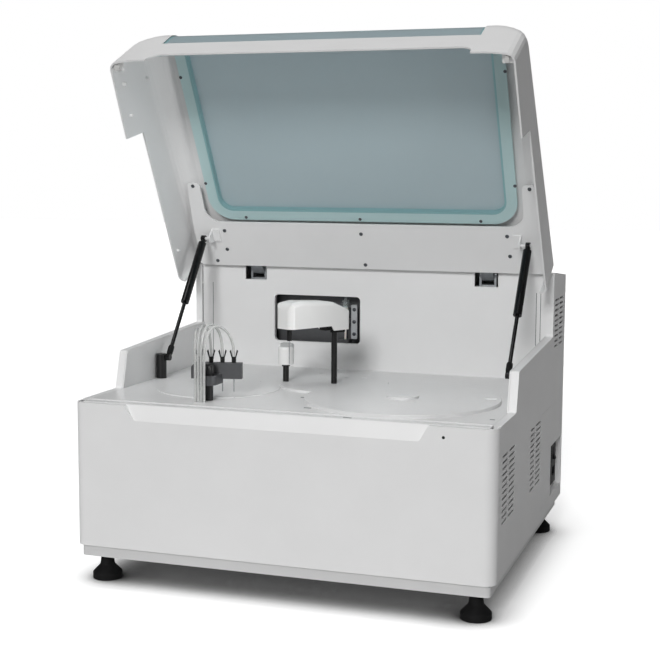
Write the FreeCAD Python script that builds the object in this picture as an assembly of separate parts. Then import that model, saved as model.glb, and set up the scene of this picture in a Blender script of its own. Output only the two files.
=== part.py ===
import FreeCAD, Part
import math
import os

# Benchtop chemistry analyzer with its lid open, in millimetres.
# X runs to the right, Y is measured back from the front face, Z is up from the bench.
# Saving moves the origin to the middle of the footprint.

# Whole instrument
width = 720.0
depth = 640.0
ground_gap = 46.6
tray_height = 19.4
deck_top = 311.0
plan_depth_share = 1.125

# Common walls and clearances
skin = 3.0
sheet = 2.0
joint_gap = 0.3
running = 0.05
overrun = 1.0

# Levelling feet
foot_side_inset = 37.0
foot_end_inset = 44.0
foot_pad_radius = 25.0
foot_pad_height = 11.0
foot_pad_edge = 3.0
foot_cone_top = 24.0
foot_neck_radius = 12.5
foot_neck_top = 38.0
foot_neck_top_radius = 10.5
stem_radius = 5.0
stem_nut_radius = 9.0
weld_nut_radius = 10.0
weld_nut_height = 9.0

# Base tray
tray_side_step = 8.0
tray_end_step = 7.0
tray_corner = 8.0

# Chassis of square tube
tube = 20.0
post_side_inset = 28.0
front_post_y = 23.0
rear_post_inset = 110.0
hinge_beam_top_rise = 171.0

# Front cover
cover_flange = 12.0
cover_drop = 1.0
side_seam_y = 34.0
front_corner = 20.0
scoop_left_inset = 93.0
scoop_right_inset = 107.0
scoop_height = 25.0
scoop_depth = 11.0
scoop_taper_left = 20.0
scoop_taper_right = 15.0
scoop_corner = 6.0
cover_rib_share = 1 / 6

# Status lamp
lamp_inset = 83.4
lamp_drop = 16.4
lamp_radius = 2.5
lamp_bezel = 4.0
lamp_length = 9.0
lamp_sink = 0.3

# Side panels and their raised wings
panel_depth = 13.0
wing_foot_y = 151.0
wing_front_y = 169.0
wing_front_rise = 65.0
wing_rear_inset = 139.0
wing_rear_rise = 82.0
shoulder_front_rise = 31.0
shoulder_rear_rise = 18.0
wing_corner = 5.0

# Louvre vents: each group is two fields of slots, given as first length, gap, second length
vent_slot = 3.9
vent_pitch = 9.6
vent_front = (43.0, 10.0, 46.0)
vent_front_y = 46.0
vent_front_drop = 159.0
vent_middle = (40.0, 13.0, 46.0)
vent_middle_share = 0.453125
vent_middle_drop = 163.0
vent_shoulder = (42.0, 12.0, 42.0)
vent_shoulder_inset = 120.0
vent_shoulder_rise = 60.0
vent_rows = 12
vent_shoulder_rows = 10

# Access panel and power bay in the right side
access_length = 98.0
access_rear_inset = 137.0
access_bottom_lift = 22.0
access_top_drop = 46.0
access_lip = 6.0
access_lip_sheet = 1.5
bay_length = 120.0
bay_rear_inset = 10.0
bay_bottom_lift = 24.0
bay_top_lift = 120.0
bay_depth = 11.0
module_rear_step = 8.0
module_width = 50.0
module_bottom_lift = 31.0
module_height = 80.0
module_plate = 2.5
module_body_inset = 4.0
module_body_depth = 26.0
inlet_width = 24.0
inlet_height = 17.0
inlet_depth = 16.0
inlet_rise = 24.0
pin_width = 2.0
pin_height = 4.0
pin_length = 9.0
pin_spread = 7.0
rocker_rise = 58.0
rocker_width = 13.0
rocker_half = 11.0
rocker_rear_half = 8.0
rocker_nose = 3.0
rocker_waist = 1.2
rocker_back = 6.0
rocker_tilt = 10.0
rocker_pin_radius = 1.5
rocker_pin_reach = 1.5
rocker_clear = 1.6
rocker_well = 9.0

# Deck
deck_front = 12.3
wall_step = 5.0
liner = 2.5
deck_lip_y = 31.0
deck_lip = 2.5
deck_lip_height = 1.5
plateau_share = 0.136111
plateau_height = 4.0
ring_share = 0.151389
ring_height = 1.2
bush_wall = 5.0
bush_length = 14.0
slot_half = 5.0
slot_radius = 1.8
needle_hole = 2.0
slot_corner = 1.62
slot_steps = ((-68.1, 127.7), (1.6, 69.7), (32.5, 81.7), (-95.3, 52.7))

# Rear wall, top cover and rear panel
rear_window_left_share = -0.267778
rear_window_right_share = -0.021528
rear_window_bottom_rise = 51.0
rear_window_top_drop = 28.0
rear_window_corner = 8.0
rear_window_return = 9.0
notch_width = 45.0
notch_rear_inset = 98.0
rear_flange = 20.0
grille_slots = 8
grille_pitch = 8.6
grille_slot = 3.9
port_radius = 7.0
port_collar = 4.0
port_spacing = 30.0
port_share = 1 / 6
port_lift = 44.0
port_count = 3

# Lid hinge
hinge_rear_inset = 113.2
hinge_rise = 17.8
lid_open_angle = 62.9
hinge_side_inset = 128.0
arm_width = 24.0
arm_boss = 8.0
arm_length = 87.0
arm_heel = 28.8
arm_knee = 18.0
arm_thick = 9.0
arm_neck = 21.6
arm_neck_drop = 3.0
arm_shoulder = 31.8
arm_shoulder_rise = 2.0
pin_radius = 3.0
pin_proud = 1.0
cheek = 4.0
cheek_radius = 6.8
cheek_base = 3.0

# Lid shell, drawn closed
lid_front_y = 2.0
lid_rim_rise = 2.0
lid_front_lean = 4.0
lid_brow_drop = 62.0
lid_brow_radius = 62.0
lid_top_y = 68.0
lid_top_drop = 19.0
lid_rear_inset = 141.0
lid_rear_rise = 24.5
lid_tail_inset = 137.0
lid_side_tail = 0.1
lid_frame_drop = 22.3
lid_flat_inset = 60.0
lid_side_draft = 10.0
lid_side_front_y = 8.0
lid_side_brow_radius = 40.0
lid_side_top_y = 60.0
lid_side_top_drop = 45.0
lid_side_rear_inset = 144.0
lid_side_rear_drop = 8.0
lid_edge_radius = 12.0
lid_crown_shares = (0.3, 0.55)
rim_gap = 3.0
rim_rear_gap = 4.0
rim_front_gap = 2.0
rim_foot_gap = 1.0
lip_arch_inset = 80.0
lip_arch_top_rise = 27.0
lip_arch_corner = 20.0

# Lid window
opening_side_inset = 78.5
opening_rear_step = 22.0
opening_front_drop = 30.0
opening_corner = 28.0
window_sink = 2.0
window_seat = 13.0
window_flange = 20.0

# Lid inner frame and fittings
frame_sheet = 3.0
frame_band = 97.5
frame_rear_inset = 137.5
frame_side_inset = 17.0
trim_length = 84.0
trim_width = 25.0
trim_side_inset = 23.0
frame_corner = 30.0
frame_rib_inset = 32.0
bumper_side_inset = 23.0
bumper_y = 16.0
bumper_radius = 4.5
bumper_socket_rise = 11.0
bumper_block_top_rise = 26.0
bumper_block_rear = 26.0
bumper_block_half = 9.0

# Gas struts
strut_side_inset = 40.6
strut_foot_lead = 149.6
strut_foot_rise = 40.1
strut_head_lead = 92.8
strut_head_drop = 40.8
strut_eye = 6.5
strut_eye_half = 4.0
strut_stud = 3.0
strut_rod_radius = 3.5
strut_body_radius = 7.75
strut_body_wall = 1.6
strut_body_length = 137.0
strut_gland = 8.0
strut_neck = 11.0
strut_neck_radius = 4.5
strut_piston = 6.0
strut_rod_inside = 25.5
post_radius = 9.5
post_side_step = 14.5
post_cap = 6.0
bracket_width = 16.0
bracket_side_step = 13.4
bracket_sheet = 3.0
bracket_half = 13.0

# Lift towers below the deck
tower_plate = 6.0
tower_top_drop = 125.0
tower_half = 24.0
tower_front = 12.0
tower_rear = 26.0
guide_radius = 4.0
guide_spread = 15.0
guide_back = 16.0
carriage_half = 22.0
carriage_drop = 183.0
carriage_height = 18.0
carriage_rear = 23.0
collar_height = 5.0
collar_wall = 3.0
swing_motor = 26.0
swing_motor_height = 20.0

# Sampling probe
probe_place_shares = (-0.004861, 0.487969)
probe_angle = 240.0
probe_reach_share = 0.145833
probe_column_radius = 5.4
probe_column_top_rise = 113.2
probe_cover_bottom_rise = 111.7
probe_lobe_drop = 8.4
probe_lobe_lead = 18.6
probe_lobe_slope = 5.4
probe_cover_lead = 15.0
probe_cover_tail = 22.0
probe_cover_width = 43.0
probe_cover_skin = 2.2
probe_cover_corner = 11.0
probe_cover_edge = 9.0
probe_crown = ((26.3, 22.0), (43.8, 90.0), (48.3, 90.0), (44.8, 14.0))
probe_crown_shares = (0.296, 0.824)
probe_plate_lift = 1.0
probe_plate_height = 5.0
probe_hub_radius = 8.0
probe_hub_drop = 14.4
probe_hub_sheet = 5.6
probe_hub_reach = 28.0
probe_hub_tail = 19.0
holder_radius = 4.3
holder_bottom_rise = 90.0
needle_radius = 0.9
needle_socket_gap = 1.0
needle_tip_rise = 49.0

# Mixer
mixer_place_shares = (0.130139, 0.125139)
mixer_angle = 109.3
mixer_reach_share = 0.069444
mixer_column_radius = 5.5
mixer_flange_radius = 7.5
mixer_flange_height = 4.0
mixer_head_bottom_rise = 36.0
mixer_head_top_rise = 68.0
mixer_head_half = 14.0
mixer_head_edge = 5.0
paddle_shaft_radius = 1.5
paddle_tip_rise = 19.0
paddle_half = 2.6
paddle_blade = 9.0
paddle_sheet = 1.0
paddle_socket = 14.0

# Wash station
wash_side_step = 4.5
wash_front_step = 28.0
wash_column_radius = 9.0
wash_bar_bearing = -68.514557
wash_bar_angle = 14.7
wash_bar_half = 43.5
wash_bar_thickness = 13.0
wash_bar_bottom_rise = 33.4
wash_bar_top_rise = 60.7
wash_bar_chamfer = 7.0
wash_block_bottom_rise = 26.5
wash_block_top_rise = 42.7
wash_block_radius = 16.0
wash_stud_radius = 4.0
wash_knob_radius = 10.5
wash_knob_top_rise = 63.0
wash_knob_crown = 2.0
nozzle_count = 4
nozzle_spacing = 19.5
nozzle_half = 7.0
nozzle_height = 22.0
nozzle_thickness = 5.0
nozzle_outline_shares = ((-0.5, 0.0), (0.5, 0.0), (0.5, 0.36), (1.0, 0.9), (0.72, 1.0),
                         (0.38, 0.46), (-0.38, 0.46), (-0.72, 1.0), (-1.0, 0.9), (-0.5, 0.36))
wash_needle_radius = 1.0
wash_needle_tip_rise = 11.0

# Wash hoses, as steps from the wash column at deck height: over the block in an arch,
# then down side by side through the deck
hose_radius = 2.25
hose_hole_clear = 0.3
hose_steps = (
    ((-23.80, 20.60, 71.0), (-23.50, 20.20, 95.0), (-21.50, 12.00, 116.0),
     (-17.50, -5.00, 123.0), (-14.00, -19.00, 113.0), (-12.60, -23.70, 87.0),
     (-12.45, -24.00, 39.0), (-12.45, -24.00, -39.0)),
    ((-4.93, 25.53, 71.0), (-5.10, 25.20, 98.0), (-5.90, 16.00, 120.0),
     (-7.00, -2.00, 129.0), (-7.50, -17.50, 118.0), (-7.20, -23.40, 91.0),
     (-7.15, -24.00, 41.0), (-7.15, -24.00, -39.0)),
    ((13.93, 30.47, 71.0), (13.60, 30.00, 97.0), (10.50, 20.50, 119.0),
     (4.50, 1.00, 131.0), (-0.10, -16.50, 120.0), (-1.70, -23.60, 93.0),
     (-1.85, -24.00, 42.0), (-1.85, -24.00, -39.0)),
    ((32.80, 35.40, 71.0), (32.30, 34.80, 94.0), (26.00, 24.00, 115.0),
     (14.50, 5.00, 129.0), (6.30, -14.50, 118.0), (3.50, -23.30, 90.0),
     (3.45, -24.00, 40.0), (3.45, -24.00, -39.0)))
hose_run_share = 0.45

# Sample disc, its well, cover and bottles
sample_side_share = 0.215278
sample_cover_gap = 4.0
sample_cover_rest = 17.0
sample_well_step = 6.0
sample_well_floor_drop = 85.0
sample_cover_share = 0.231944
sample_cover_height = 5.0
sample_cover_sheet = 2.5
sample_cover_edge = 1.0
sample_cover_bite = 1.0
sample_hub_share = 0.038194
sample_hub_height = 4.0
sample_slit_reach = 20.0
sample_slit_half = 8.0
sample_slit_depth = 2.0
sample_slit_inset = 8.0
sample_slit_angle = 13.6
sample_disc_clear = 4.0
sample_disc_gap = 12.0
sample_disc_sheet = 3.0
sample_disc_rim = 14.0
spindle_radius = 6.0
spindle_hub_radius = 20.0
spindle_hub_height = 40.0
bottle_count = 12
bottle_inner_share = 0.376712
bottle_outer_clear = 5.0
bottle_inner_width_share = 0.181818
bottle_outer_width_share = 0.217391
bottle_height = 44.0
bottle_neck_radius = 10.0
bottle_neck_height = 14.0
bottle_neck_clear = 26.0
bottle_corner = 4.0

# Reaction disc, its well and cuvettes
reaction_place_shares = (-0.259722, 0.334375)
reaction_well_step = 3.0
reaction_well_floor_drop = 53.0
reaction_disc_gap = 6.0
reaction_disc_clear = 2.0
reaction_disc_sheet = 6.0
cuvette_count = 36
cuvette_ring_inset = 7.0
cuvette_side = 7.0
cuvette_wall = 1.55
cuvette_height = 26.0
cuvette_sink = 3.0

# Disc motors
motor_side = 42.0
motor_height = 34.0
motor_corner = 4.0
motor_shaft_depth = 20.0

# Photometer, boards and supply inside the housing
photometer_half = 30.0
photometer_gap = 4.0
photometer_depth = 40.0
photometer_drop = 75.0
photometer_height = 52.0
photometer_leg = 12.0
photometer_lens = 9.0
board_side_inset = 50.0
board_gap = 15.0
board_length = 150.0
board_width = 110.0
board_sheet = 1.6
board_standoff = 8.0
board_pillar = 3.0
board_inset = 8.0
supply_side_inset = 70.0
supply_rear_inset = 152.0
supply_length = 140.0
supply_width = 98.0
supply_height = 50.0
supply_vents = 9
supply_vent_pitch = 12.0

# Fan
fan_share = -0.277778
fan_lift = 84.0
fan_side = 80.0
fan_thickness = 25.0
fan_bore = 37.0
fan_hub = 17.0
fan_blades = 7
fan_blade_sheet = 1.8
fan_blade_pitch = 35.0
fan_blade_clear = 1.5
fan_pin = 2.0
fan_arm = 5.0
fan_corner = 5.0

# Syringe behind the wall window
syringe_share = -0.072222
syringe_lead = 2.0
syringe_barrel_radius = 7.0
syringe_bore = 5.0
syringe_barrel_length = 54.0
syringe_top_drop = 8.0
syringe_plate_margin = 6.0
syringe_plate_bottom_rise = 35.0
syringe_clip = 8.0
syringe_nipple = 3.0
syringe_drive = 22.0
plunger_rod = 2.0
plunger_head = 6.0
plunger_start = 18.0
plunger_foot = 8.0
plunger_drop = 16.0

half = width / 2
cover_bottom = ground_gap + tray_height
tray_floor = ground_gap + sheet
cover_top = deck_top - cover_drop
wall_half = half - panel_depth - joint_gap
post_centre = half - post_side_inset
plan_size = min(width, depth * plan_depth_share)

# Places along the depth
rear_post_y = depth - rear_post_inset
wing_rear_y = depth - wing_rear_inset
wall_front = wing_rear_y + wall_step
notch_rear = depth - notch_rear_inset
hinge_y = depth - hinge_rear_inset
access_front = depth - access_rear_inset - access_length
access_rear = depth - access_rear_inset
bay_front = depth - bay_rear_inset - bay_length
bay_rear = depth - bay_rear_inset
module_front = bay_rear - module_rear_step - module_width
lid_rear_y = depth - lid_rear_inset
lid_tail_y = depth - lid_tail_inset
lid_side_rear_y = depth - lid_side_rear_inset
frame_rear = depth - frame_rear_inset
strut_head_y = hinge_y - strut_head_lead
syringe_y = rear_post_y - syringe_lead
supply_front = depth - supply_rear_inset - supply_width
frame_front = frame_rear - frame_band
trim_front = frame_front - trim_length
strut_foot_y = strut_head_y - strut_foot_lead
opening_rear = frame_front - opening_rear_step

# Places across the width
scoop_left = scoop_left_inset - half
scoop_right = half - scoop_right_inset
cover_rib_x = width * cover_rib_share
lamp_x = half - lamp_inset
hinge_x = half - hinge_side_inset
lid_flat_half = half - lid_flat_inset
lid_half_rear = half
lid_half_front = half - lid_side_draft
lip_arch_half = half - lip_arch_inset
opening_half = half - opening_side_inset
frame_half = half - frame_side_inset
trim_inner = half - trim_side_inset - trim_width
trim_outer = half - trim_side_inset
frame_rib_x = half - frame_rib_inset
bumper_x = half - bumper_side_inset
strut_x = half - strut_side_inset
post_x = strut_x + post_side_step
bracket_outer = strut_x - bracket_side_step
rear_window_left = width * rear_window_left_share
rear_window_right = width * rear_window_right_share
port_x = width * port_share
fan_x = width * fan_share
syringe_x = width * syringe_share
board_left = board_side_inset - half
supply_left = half - supply_side_inset - supply_length
bracket_inner = bracket_outer - bracket_width

# Deck plan: the discs grow with the smaller side, arms and wash station stand about them
plateau_radius = plan_size * plateau_share
ring_radius = plan_size * ring_share
probe_x = width * probe_place_shares[0]
probe_y = depth * probe_place_shares[1]
probe_reach = plan_size * probe_reach_share
probe_cover_tip = probe_reach + probe_cover_lead
mixer_reach = plan_size * mixer_reach_share
sample_x = width * sample_side_share
sample_cover_radius = plan_size * sample_cover_share
sample_hole_radius = sample_cover_radius - sample_cover_rest
sample_well_radius = sample_hole_radius + sample_well_step
sample_disc_radius = sample_hole_radius - sample_disc_clear
sample_hub_radius = plan_size * sample_hub_share
bottle_inner = sample_disc_radius * bottle_inner_share
bottle_outer = sample_disc_radius - sample_disc_sheet - bottle_outer_clear
bottle_inner_half = bottle_inner * bottle_inner_width_share
bottle_outer_half = bottle_outer * bottle_outer_width_share
bottle_neck_at = bottle_outer - bottle_neck_clear
reaction_x = width * reaction_place_shares[0]
reaction_y = depth * reaction_place_shares[1]
reaction_well_radius = ring_radius + reaction_well_step
reaction_disc_radius = reaction_well_radius - sheet - reaction_disc_clear
cuvette_ring = reaction_disc_radius - cuvette_ring_inset
photometer_front = reaction_y + reaction_well_radius + photometer_gap
board_front = photometer_front + photometer_depth + board_gap
mixer_x = reaction_x + plan_size * mixer_place_shares[0]
mixer_y = reaction_y + plan_size * mixer_place_shares[1]
wash_bar_x = reaction_x + cuvette_ring * math.cos(math.radians(wash_bar_bearing))
wash_bar_y = reaction_y + cuvette_ring * math.sin(math.radians(wash_bar_bearing))
wash_x = wash_bar_x - wash_side_step
wash_y = wash_bar_y - wash_front_step
sample_y = deck_lip_y + deck_lip + sample_cover_gap + sample_cover_radius

# Heights
hinge_beam_top = deck_top + hinge_beam_top_rise
wing_front_z = deck_top + wing_front_rise
wing_rear_z = deck_top + wing_rear_rise
rear_window_bottom = deck_top + rear_window_bottom_rise
lid_rim_z = deck_top + lid_rim_rise
lip_arch_top = deck_top + lip_arch_top_rise
bumper_socket = deck_top + bumper_socket_rise
bumper_block_top = deck_top + bumper_block_top_rise
strut_foot_z = deck_top + strut_foot_rise
probe_column_top = deck_top + probe_column_top_rise
probe_cover_bottom = deck_top + probe_cover_bottom_rise
holder_bottom = deck_top + holder_bottom_rise
needle_tip = deck_top + needle_tip_rise
mixer_head_bottom = deck_top + mixer_head_bottom_rise
mixer_head_top = deck_top + mixer_head_top_rise
paddle_tip = deck_top + paddle_tip_rise
wash_bar_bottom = deck_top + wash_bar_bottom_rise
wash_bar_top = deck_top + wash_bar_top_rise
wash_block_bottom = deck_top + wash_block_bottom_rise
wash_block_top = deck_top + wash_block_top_rise
wash_knob_top = deck_top + wash_knob_top_rise
wash_needle_tip = deck_top + wash_needle_tip_rise
syringe_plate_bottom = deck_top + syringe_plate_bottom_rise
shoulder_front_z = hinge_beam_top + shoulder_front_rise
shoulder_rear_z = hinge_beam_top + shoulder_rear_rise
rear_window_top = hinge_beam_top - rear_window_top_drop
hinge_z = hinge_beam_top + hinge_rise
lid_frame_top = hinge_z - lid_frame_drop
lid_rear_z = lid_frame_top + lid_rear_rise
lid_top_z = lid_rear_z - lid_top_drop
lid_side_rear_z = lid_rear_z - lid_side_rear_drop
lid_side_top_z = lid_top_z - lid_side_top_drop
lid_brow_z = lid_top_z - lid_brow_drop
opening_front_z = lid_brow_z - opening_front_drop
strut_head_z = hinge_z - strut_head_drop
syringe_top = rear_window_top - syringe_top_drop
syringe_bottom = syringe_top - syringe_barrel_length
access_top = deck_top - access_top_drop
sample_well_floor = deck_top - sample_well_floor_drop
reaction_well_floor = deck_top - reaction_well_floor_drop
photometer_z = deck_top - photometer_drop
tower_top = deck_top - tower_top_drop
carriage_z = deck_top - carriage_drop
sample_disc_z = sample_well_floor + sample_disc_gap
reaction_disc_z = reaction_well_floor + reaction_disc_gap
access_bottom = cover_bottom + access_bottom_lift
bay_bottom = cover_bottom + bay_bottom_lift
bay_top = cover_bottom + bay_top_lift
module_bottom = cover_bottom + module_bottom_lift
fan_z = cover_bottom + fan_lift
port_z = cover_bottom + port_lift

vertical = FreeCAD.Vector(0, 0, 1)
across = FreeCAD.Vector(1, 0, 0)
backward = FreeCAD.Vector(0, 1, 0)


def point(x, y, z):
    return FreeCAD.Vector(x, y, z)


def box(x0, x1, y0, y1, z0, z1):
    return Part.makeBox(x1 - x0, y1 - y0, z1 - z0, point(x0, y0, z0))


def cylinder(x, y, z, radius, height, axis=vertical):
    return Part.makeCylinder(radius, height, point(x, y, z), axis)


def join(*shapes):
    return shapes[0].multiFuse(list(shapes[1:])).removeSplitter()


def corner_points(before, corner, after, radius):
    """Start, middle and end of the arc that rounds one corner."""
    into = (before - corner).normalize()
    out = (after - corner).normalize()
    half_angle = into.getAngle(out) / 2
    reach = radius / math.tan(half_angle)
    centre_way = (into + out).normalize()
    middle = corner + centre_way * (radius / math.sin(half_angle) - radius)
    return corner + into * reach, middle, corner + out * reach


def outline(corners, radii=0):
    """Closed wire through the corners; radii is one value or one for each corner."""
    count = len(corners)
    if not isinstance(radii, (list, tuple)):
        radii = [radii] * count
    arcs = []
    for i, corner in enumerate(corners):
        if radii[i] > 0:
            arcs.append(corner_points(corners[i - 1], corner, corners[(i + 1) % count], radii[i]))
        else:
            arcs.append((corner, None, corner))
    edges = []
    for i, (start, middle, end) in enumerate(arcs):
        if middle is not None:
            edges.append(Part.Arc(start, middle, end).toShape())
        following = arcs[(i + 1) % count][0]
        edges.append(Part.LineSegment(end, following).toShape())
    return Part.Wire(edges)


def prism_x(pairs, x0, x1, radii=0):
    wire = outline([point(x0, y, z) for y, z in pairs], radii)
    return Part.Face(wire).extrude(across * (x1 - x0))


def prism_y(pairs, y0, y1, radii=0):
    wire = outline([point(x, y0, z) for x, z in pairs], radii)
    return Part.Face(wire).extrude(backward * (y1 - y0))


def prism_z(pairs, z0, z1, radii=0):
    wire = outline([point(x, y, z0) for x, y in pairs], radii)
    return Part.Face(wire).extrude(vertical * (z1 - z0))


def rectangle(a0, a1, b0, b1):
    return [(a0, b0), (a1, b0), (a1, b1), (a0, b1)]


def moved_edges(pairs, distances):
    """Polygon with each edge moved inward by its distance; edge i runs from corner i to the next."""
    count = len(pairs)
    area = sum(pairs[i][0] * pairs[(i + 1) % count][1] - pairs[(i + 1) % count][0] * pairs[i][1]
               for i in range(count))
    side = 1 if area > 0 else -1
    lines = []
    for i in range(count):
        (ax, ay), (bx, by) = pairs[i], pairs[(i + 1) % count]
        length = math.hypot(bx - ax, by - ay)
        nx, ny = -(by - ay) / length * side, (bx - ax) / length * side
        lines.append((nx, ny, nx * ax + ny * ay + distances[i]))
    moved = []
    for i in range(count):
        (a, b, e), (c, d, f) = lines[i - 1], lines[i]
        determinant = a * d - b * c
        moved.append(((e * d - b * f) / determinant, (a * f - e * c) / determinant))
    return moved


def inset(pairs, distance):
    return moved_edges(pairs, [distance] * len(pairs))


def mirrored(shape):
    return shape.mirror(point(0, 0, 0), across)


def turned(shape, x, y, angle):
    """Shape drawn about the Z axis along +X, turned and carried to its place."""
    result = shape.copy()
    result.rotate(point(0, 0, 0), vertical, angle)
    result.translate(point(x, y, 0))
    return result


def lid_pose(shape):
    """Piece drawn with the lid closed, turned up to the open rest pose."""
    result = shape.copy()
    result.rotate(point(0, hinge_y, hinge_z), across, -lid_open_angle)
    return result


def save(name, *shapes):
    solids = [solid for shape in shapes for solid in shape.Solids]
    compound = Part.makeCompound(solids) if len(solids) > 1 else solids[0]
    compound.translate(point(0, -depth / 2, 0))
    compound.exportStep("parts/" + name + ".step")
    size = compound.BoundBox
    print(name, len(solids), "valid" if compound.isValid() else "INVALID", round(compound.Volume),
          [round(v, 1) for v in (size.XMin, size.XMax, size.YMin, size.YMax, size.ZMin, size.ZMax)])


# Housing

def foot_places():
    side = half - foot_side_inset
    return {"foot_front_left": (-side, foot_end_inset), "foot_front_right": (side, foot_end_inset),
            "foot_rear_left": (-side, depth - foot_end_inset),
            "foot_rear_right": (side, depth - foot_end_inset)}


def foot(x, y):
    """Rubber pad with a cone and neck around the foot of a threaded stem with its lock nut."""
    profile = [point(0, 0, 0), point(foot_pad_radius, 0, 0), point(foot_pad_radius, 0, foot_pad_height),
               point(foot_neck_radius, 0, foot_cone_top), point(foot_neck_top_radius, 0, foot_neck_top),
               point(0, 0, foot_neck_top)]
    edge = foot_pad_edge
    wire = outline(profile, [0, edge / 2, edge, edge, 0, 0])
    pad = Part.Face(wire).revolve(point(0, 0, 0), vertical, 360)
    stem_bottom = foot_pad_height
    stem_top = tray_floor + weld_nut_height
    socket = cylinder(0, 0, stem_bottom, stem_radius, foot_neck_top)
    stem = cylinder(0, 0, stem_bottom, stem_radius, stem_top - stem_bottom)
    nut_top = ground_gap - joint_gap
    corners = []
    for i in range(6):
        angle = math.radians(60 * i)
        corners.append((stem_nut_radius * math.cos(angle), stem_nut_radius * math.sin(angle)))
    stem = join(stem, prism_z(corners, foot_neck_top, nut_top))
    return turned(pad.cut(socket), x, y, 0), turned(stem, x, y, 0)


def base_tray():
    edges = (-half + tray_side_step, half - tray_side_step, tray_end_step, depth - tray_end_step)
    footprint = rectangle(*edges)
    tray = prism_z(footprint, ground_gap, cover_bottom, tray_corner)
    hollow = prism_z(inset(footprint, sheet), tray_floor, cover_bottom + overrun, tray_corner - sheet)
    tray = tray.cut(hollow)
    nuts = [cylinder(x, y, tray_floor, weld_nut_radius, weld_nut_height) for x, y in foot_places().values()]
    tray = join(tray, *nuts)
    bore = stem_radius + running
    for x, y in foot_places().values():
        tray = tray.cut(cylinder(x, y, ground_gap - overrun, bore, tray_height + weld_nut_height))
    return tray


def chassis_frame():
    """Posts on the tray floor, rails under the deck and the beam that carries the lid hinges."""
    edge = tube / 2
    rail_top = deck_top - skin
    inner, outer = post_centre - edge, post_centre + edge
    bars = []
    for s in (-1, 1):
        left, right = sorted((s * inner, s * outer))
        bars.append(box(left, right, front_post_y - edge, front_post_y + edge, tray_floor, rail_top))
        bars.append(box(left, right, rear_post_y - edge, rear_post_y + edge, tray_floor, hinge_beam_top))
        bars.append(box(left, right, front_post_y, rear_post_y, rail_top - tube, rail_top))
    bars.append(box(-outer, outer, front_post_y - edge, front_post_y + edge, rail_top - tube, rail_top))
    bars.append(box(-outer, outer, rear_post_y - edge, rear_post_y + edge, hinge_beam_top - tube,
                    hinge_beam_top))
    cross = wall_front - 2 * tube
    bars.append(box(-outer, outer, cross, cross + tube, rail_top - tube, rail_top))
    return join(*bars)


def scoop(extra):
    """Sloped grip recess in the top edge of the front cover, grown by extra on its inner side."""
    bottom = cover_top - scoop_height - extra
    top = cover_top + overrun
    slope = scoop_depth / scoop_height
    left, right = scoop_left - extra, scoop_right + extra
    face = [(left, top), (left + scoop_taper_left, bottom), (right - scoop_taper_right, bottom),
            (right, top)]
    inner = extra + slope * (top - bottom - extra)
    wedge = prism_x([(-overrun, bottom), (extra, bottom), (inner, top), (-overrun, top)], left, right)
    return prism_y(face, -overrun, inner + overrun, [0, scoop_corner, scoop_corner, 0]).common(wedge)


def front_cover():
    corners = rectangle(-half, half, 0, side_seam_y - joint_gap)
    body = prism_z(corners, cover_bottom, cover_top, [front_corner, front_corner, 0, 0])
    room = rectangle(-half + skin, half - skin, skin, side_seam_y + overrun)
    inner_corner = front_corner - skin
    cavity = prism_z(room, cover_bottom + skin, cover_top - skin, [inner_corner, inner_corner, 0, 0])
    rear_room = box(-half + skin, half - skin, cover_flange, side_seam_y + overrun,
                    cover_bottom - overrun, cover_top + overrun)
    shell = body.cut(cavity.cut(scoop(skin))).cut(rear_room).cut(scoop(0))
    ribs = []
    for x in (-cover_rib_x, cover_rib_x):
        rib = box(x - sheet / 2, x + sheet / 2, skin, cover_flange, cover_bottom + skin, cover_top - skin)
        ribs.append(rib.cut(scoop(skin)))
    shell = join(shell, *ribs)
    lamp = cylinder(lamp_x, -overrun, cover_top - lamp_drop, lamp_radius + running, cover_flange, backward)
    return shell.cut(lamp)


def status_led():
    """Lamp body in the front cover, held by a bezel ring behind the wall."""
    z = cover_top - lamp_drop
    body = cylinder(lamp_x, lamp_sink, z, lamp_radius, lamp_length, backward)
    body = join(body, cylinder(lamp_x, skin, z, lamp_bezel, sheet, backward))
    front = min(body.Edges, key=lambda edge: edge.BoundBox.YMax)
    return body.makeFillet(lamp_sink, [front])


def side_outline():
    return [(side_seam_y, cover_bottom), (side_seam_y, deck_top), (wing_foot_y, deck_top),
            (wing_front_y, wing_front_z), (wing_rear_y, wing_rear_z), (wing_rear_y, shoulder_front_z),
            (depth, shoulder_rear_z), (depth, cover_bottom)]


def vents(x0, x1):
    """All louvre slots of one side as one set of boxes."""
    slots = []
    groups = ((vent_front_y, vent_front, deck_top - vent_front_drop, vent_rows),
              (depth * vent_middle_share, vent_middle, deck_top - vent_middle_drop, vent_rows),
              (depth - vent_shoulder_inset, vent_shoulder, deck_top + vent_shoulder_rise,
               vent_shoulder_rows))
    for start, (first, gap, second), bottom, rows in groups:
        for row in range(rows):
            z = bottom + row * vent_pitch
            slots.append(box(x0, x1, start, start + first, z, z + vent_slot))
            slots.append(box(x0, x1, start + first + gap, start + first + gap + second, z, z + vent_slot))
    return slots


def side_panel():
    """Right-hand moulded side: a shallow tray with its open face inward."""
    corners = side_outline()
    radii = [0, 0, wing_corner, wing_corner, wing_corner, wing_corner, wing_corner, 0]
    hollow_radii = [0, 0, wing_corner + skin, wing_corner - skin, wing_corner + skin,
                    wing_corner - skin, wing_corner - skin, 0]
    panel = prism_x(corners, half - panel_depth, half, radii)
    hollow = prism_x(inset(corners, skin), half - panel_depth - overrun, half - skin, hollow_radii)
    panel = panel.cut(hollow)
    return panel.cut(Part.makeCompound(vents(half - skin - overrun, half + overrun)))


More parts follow.
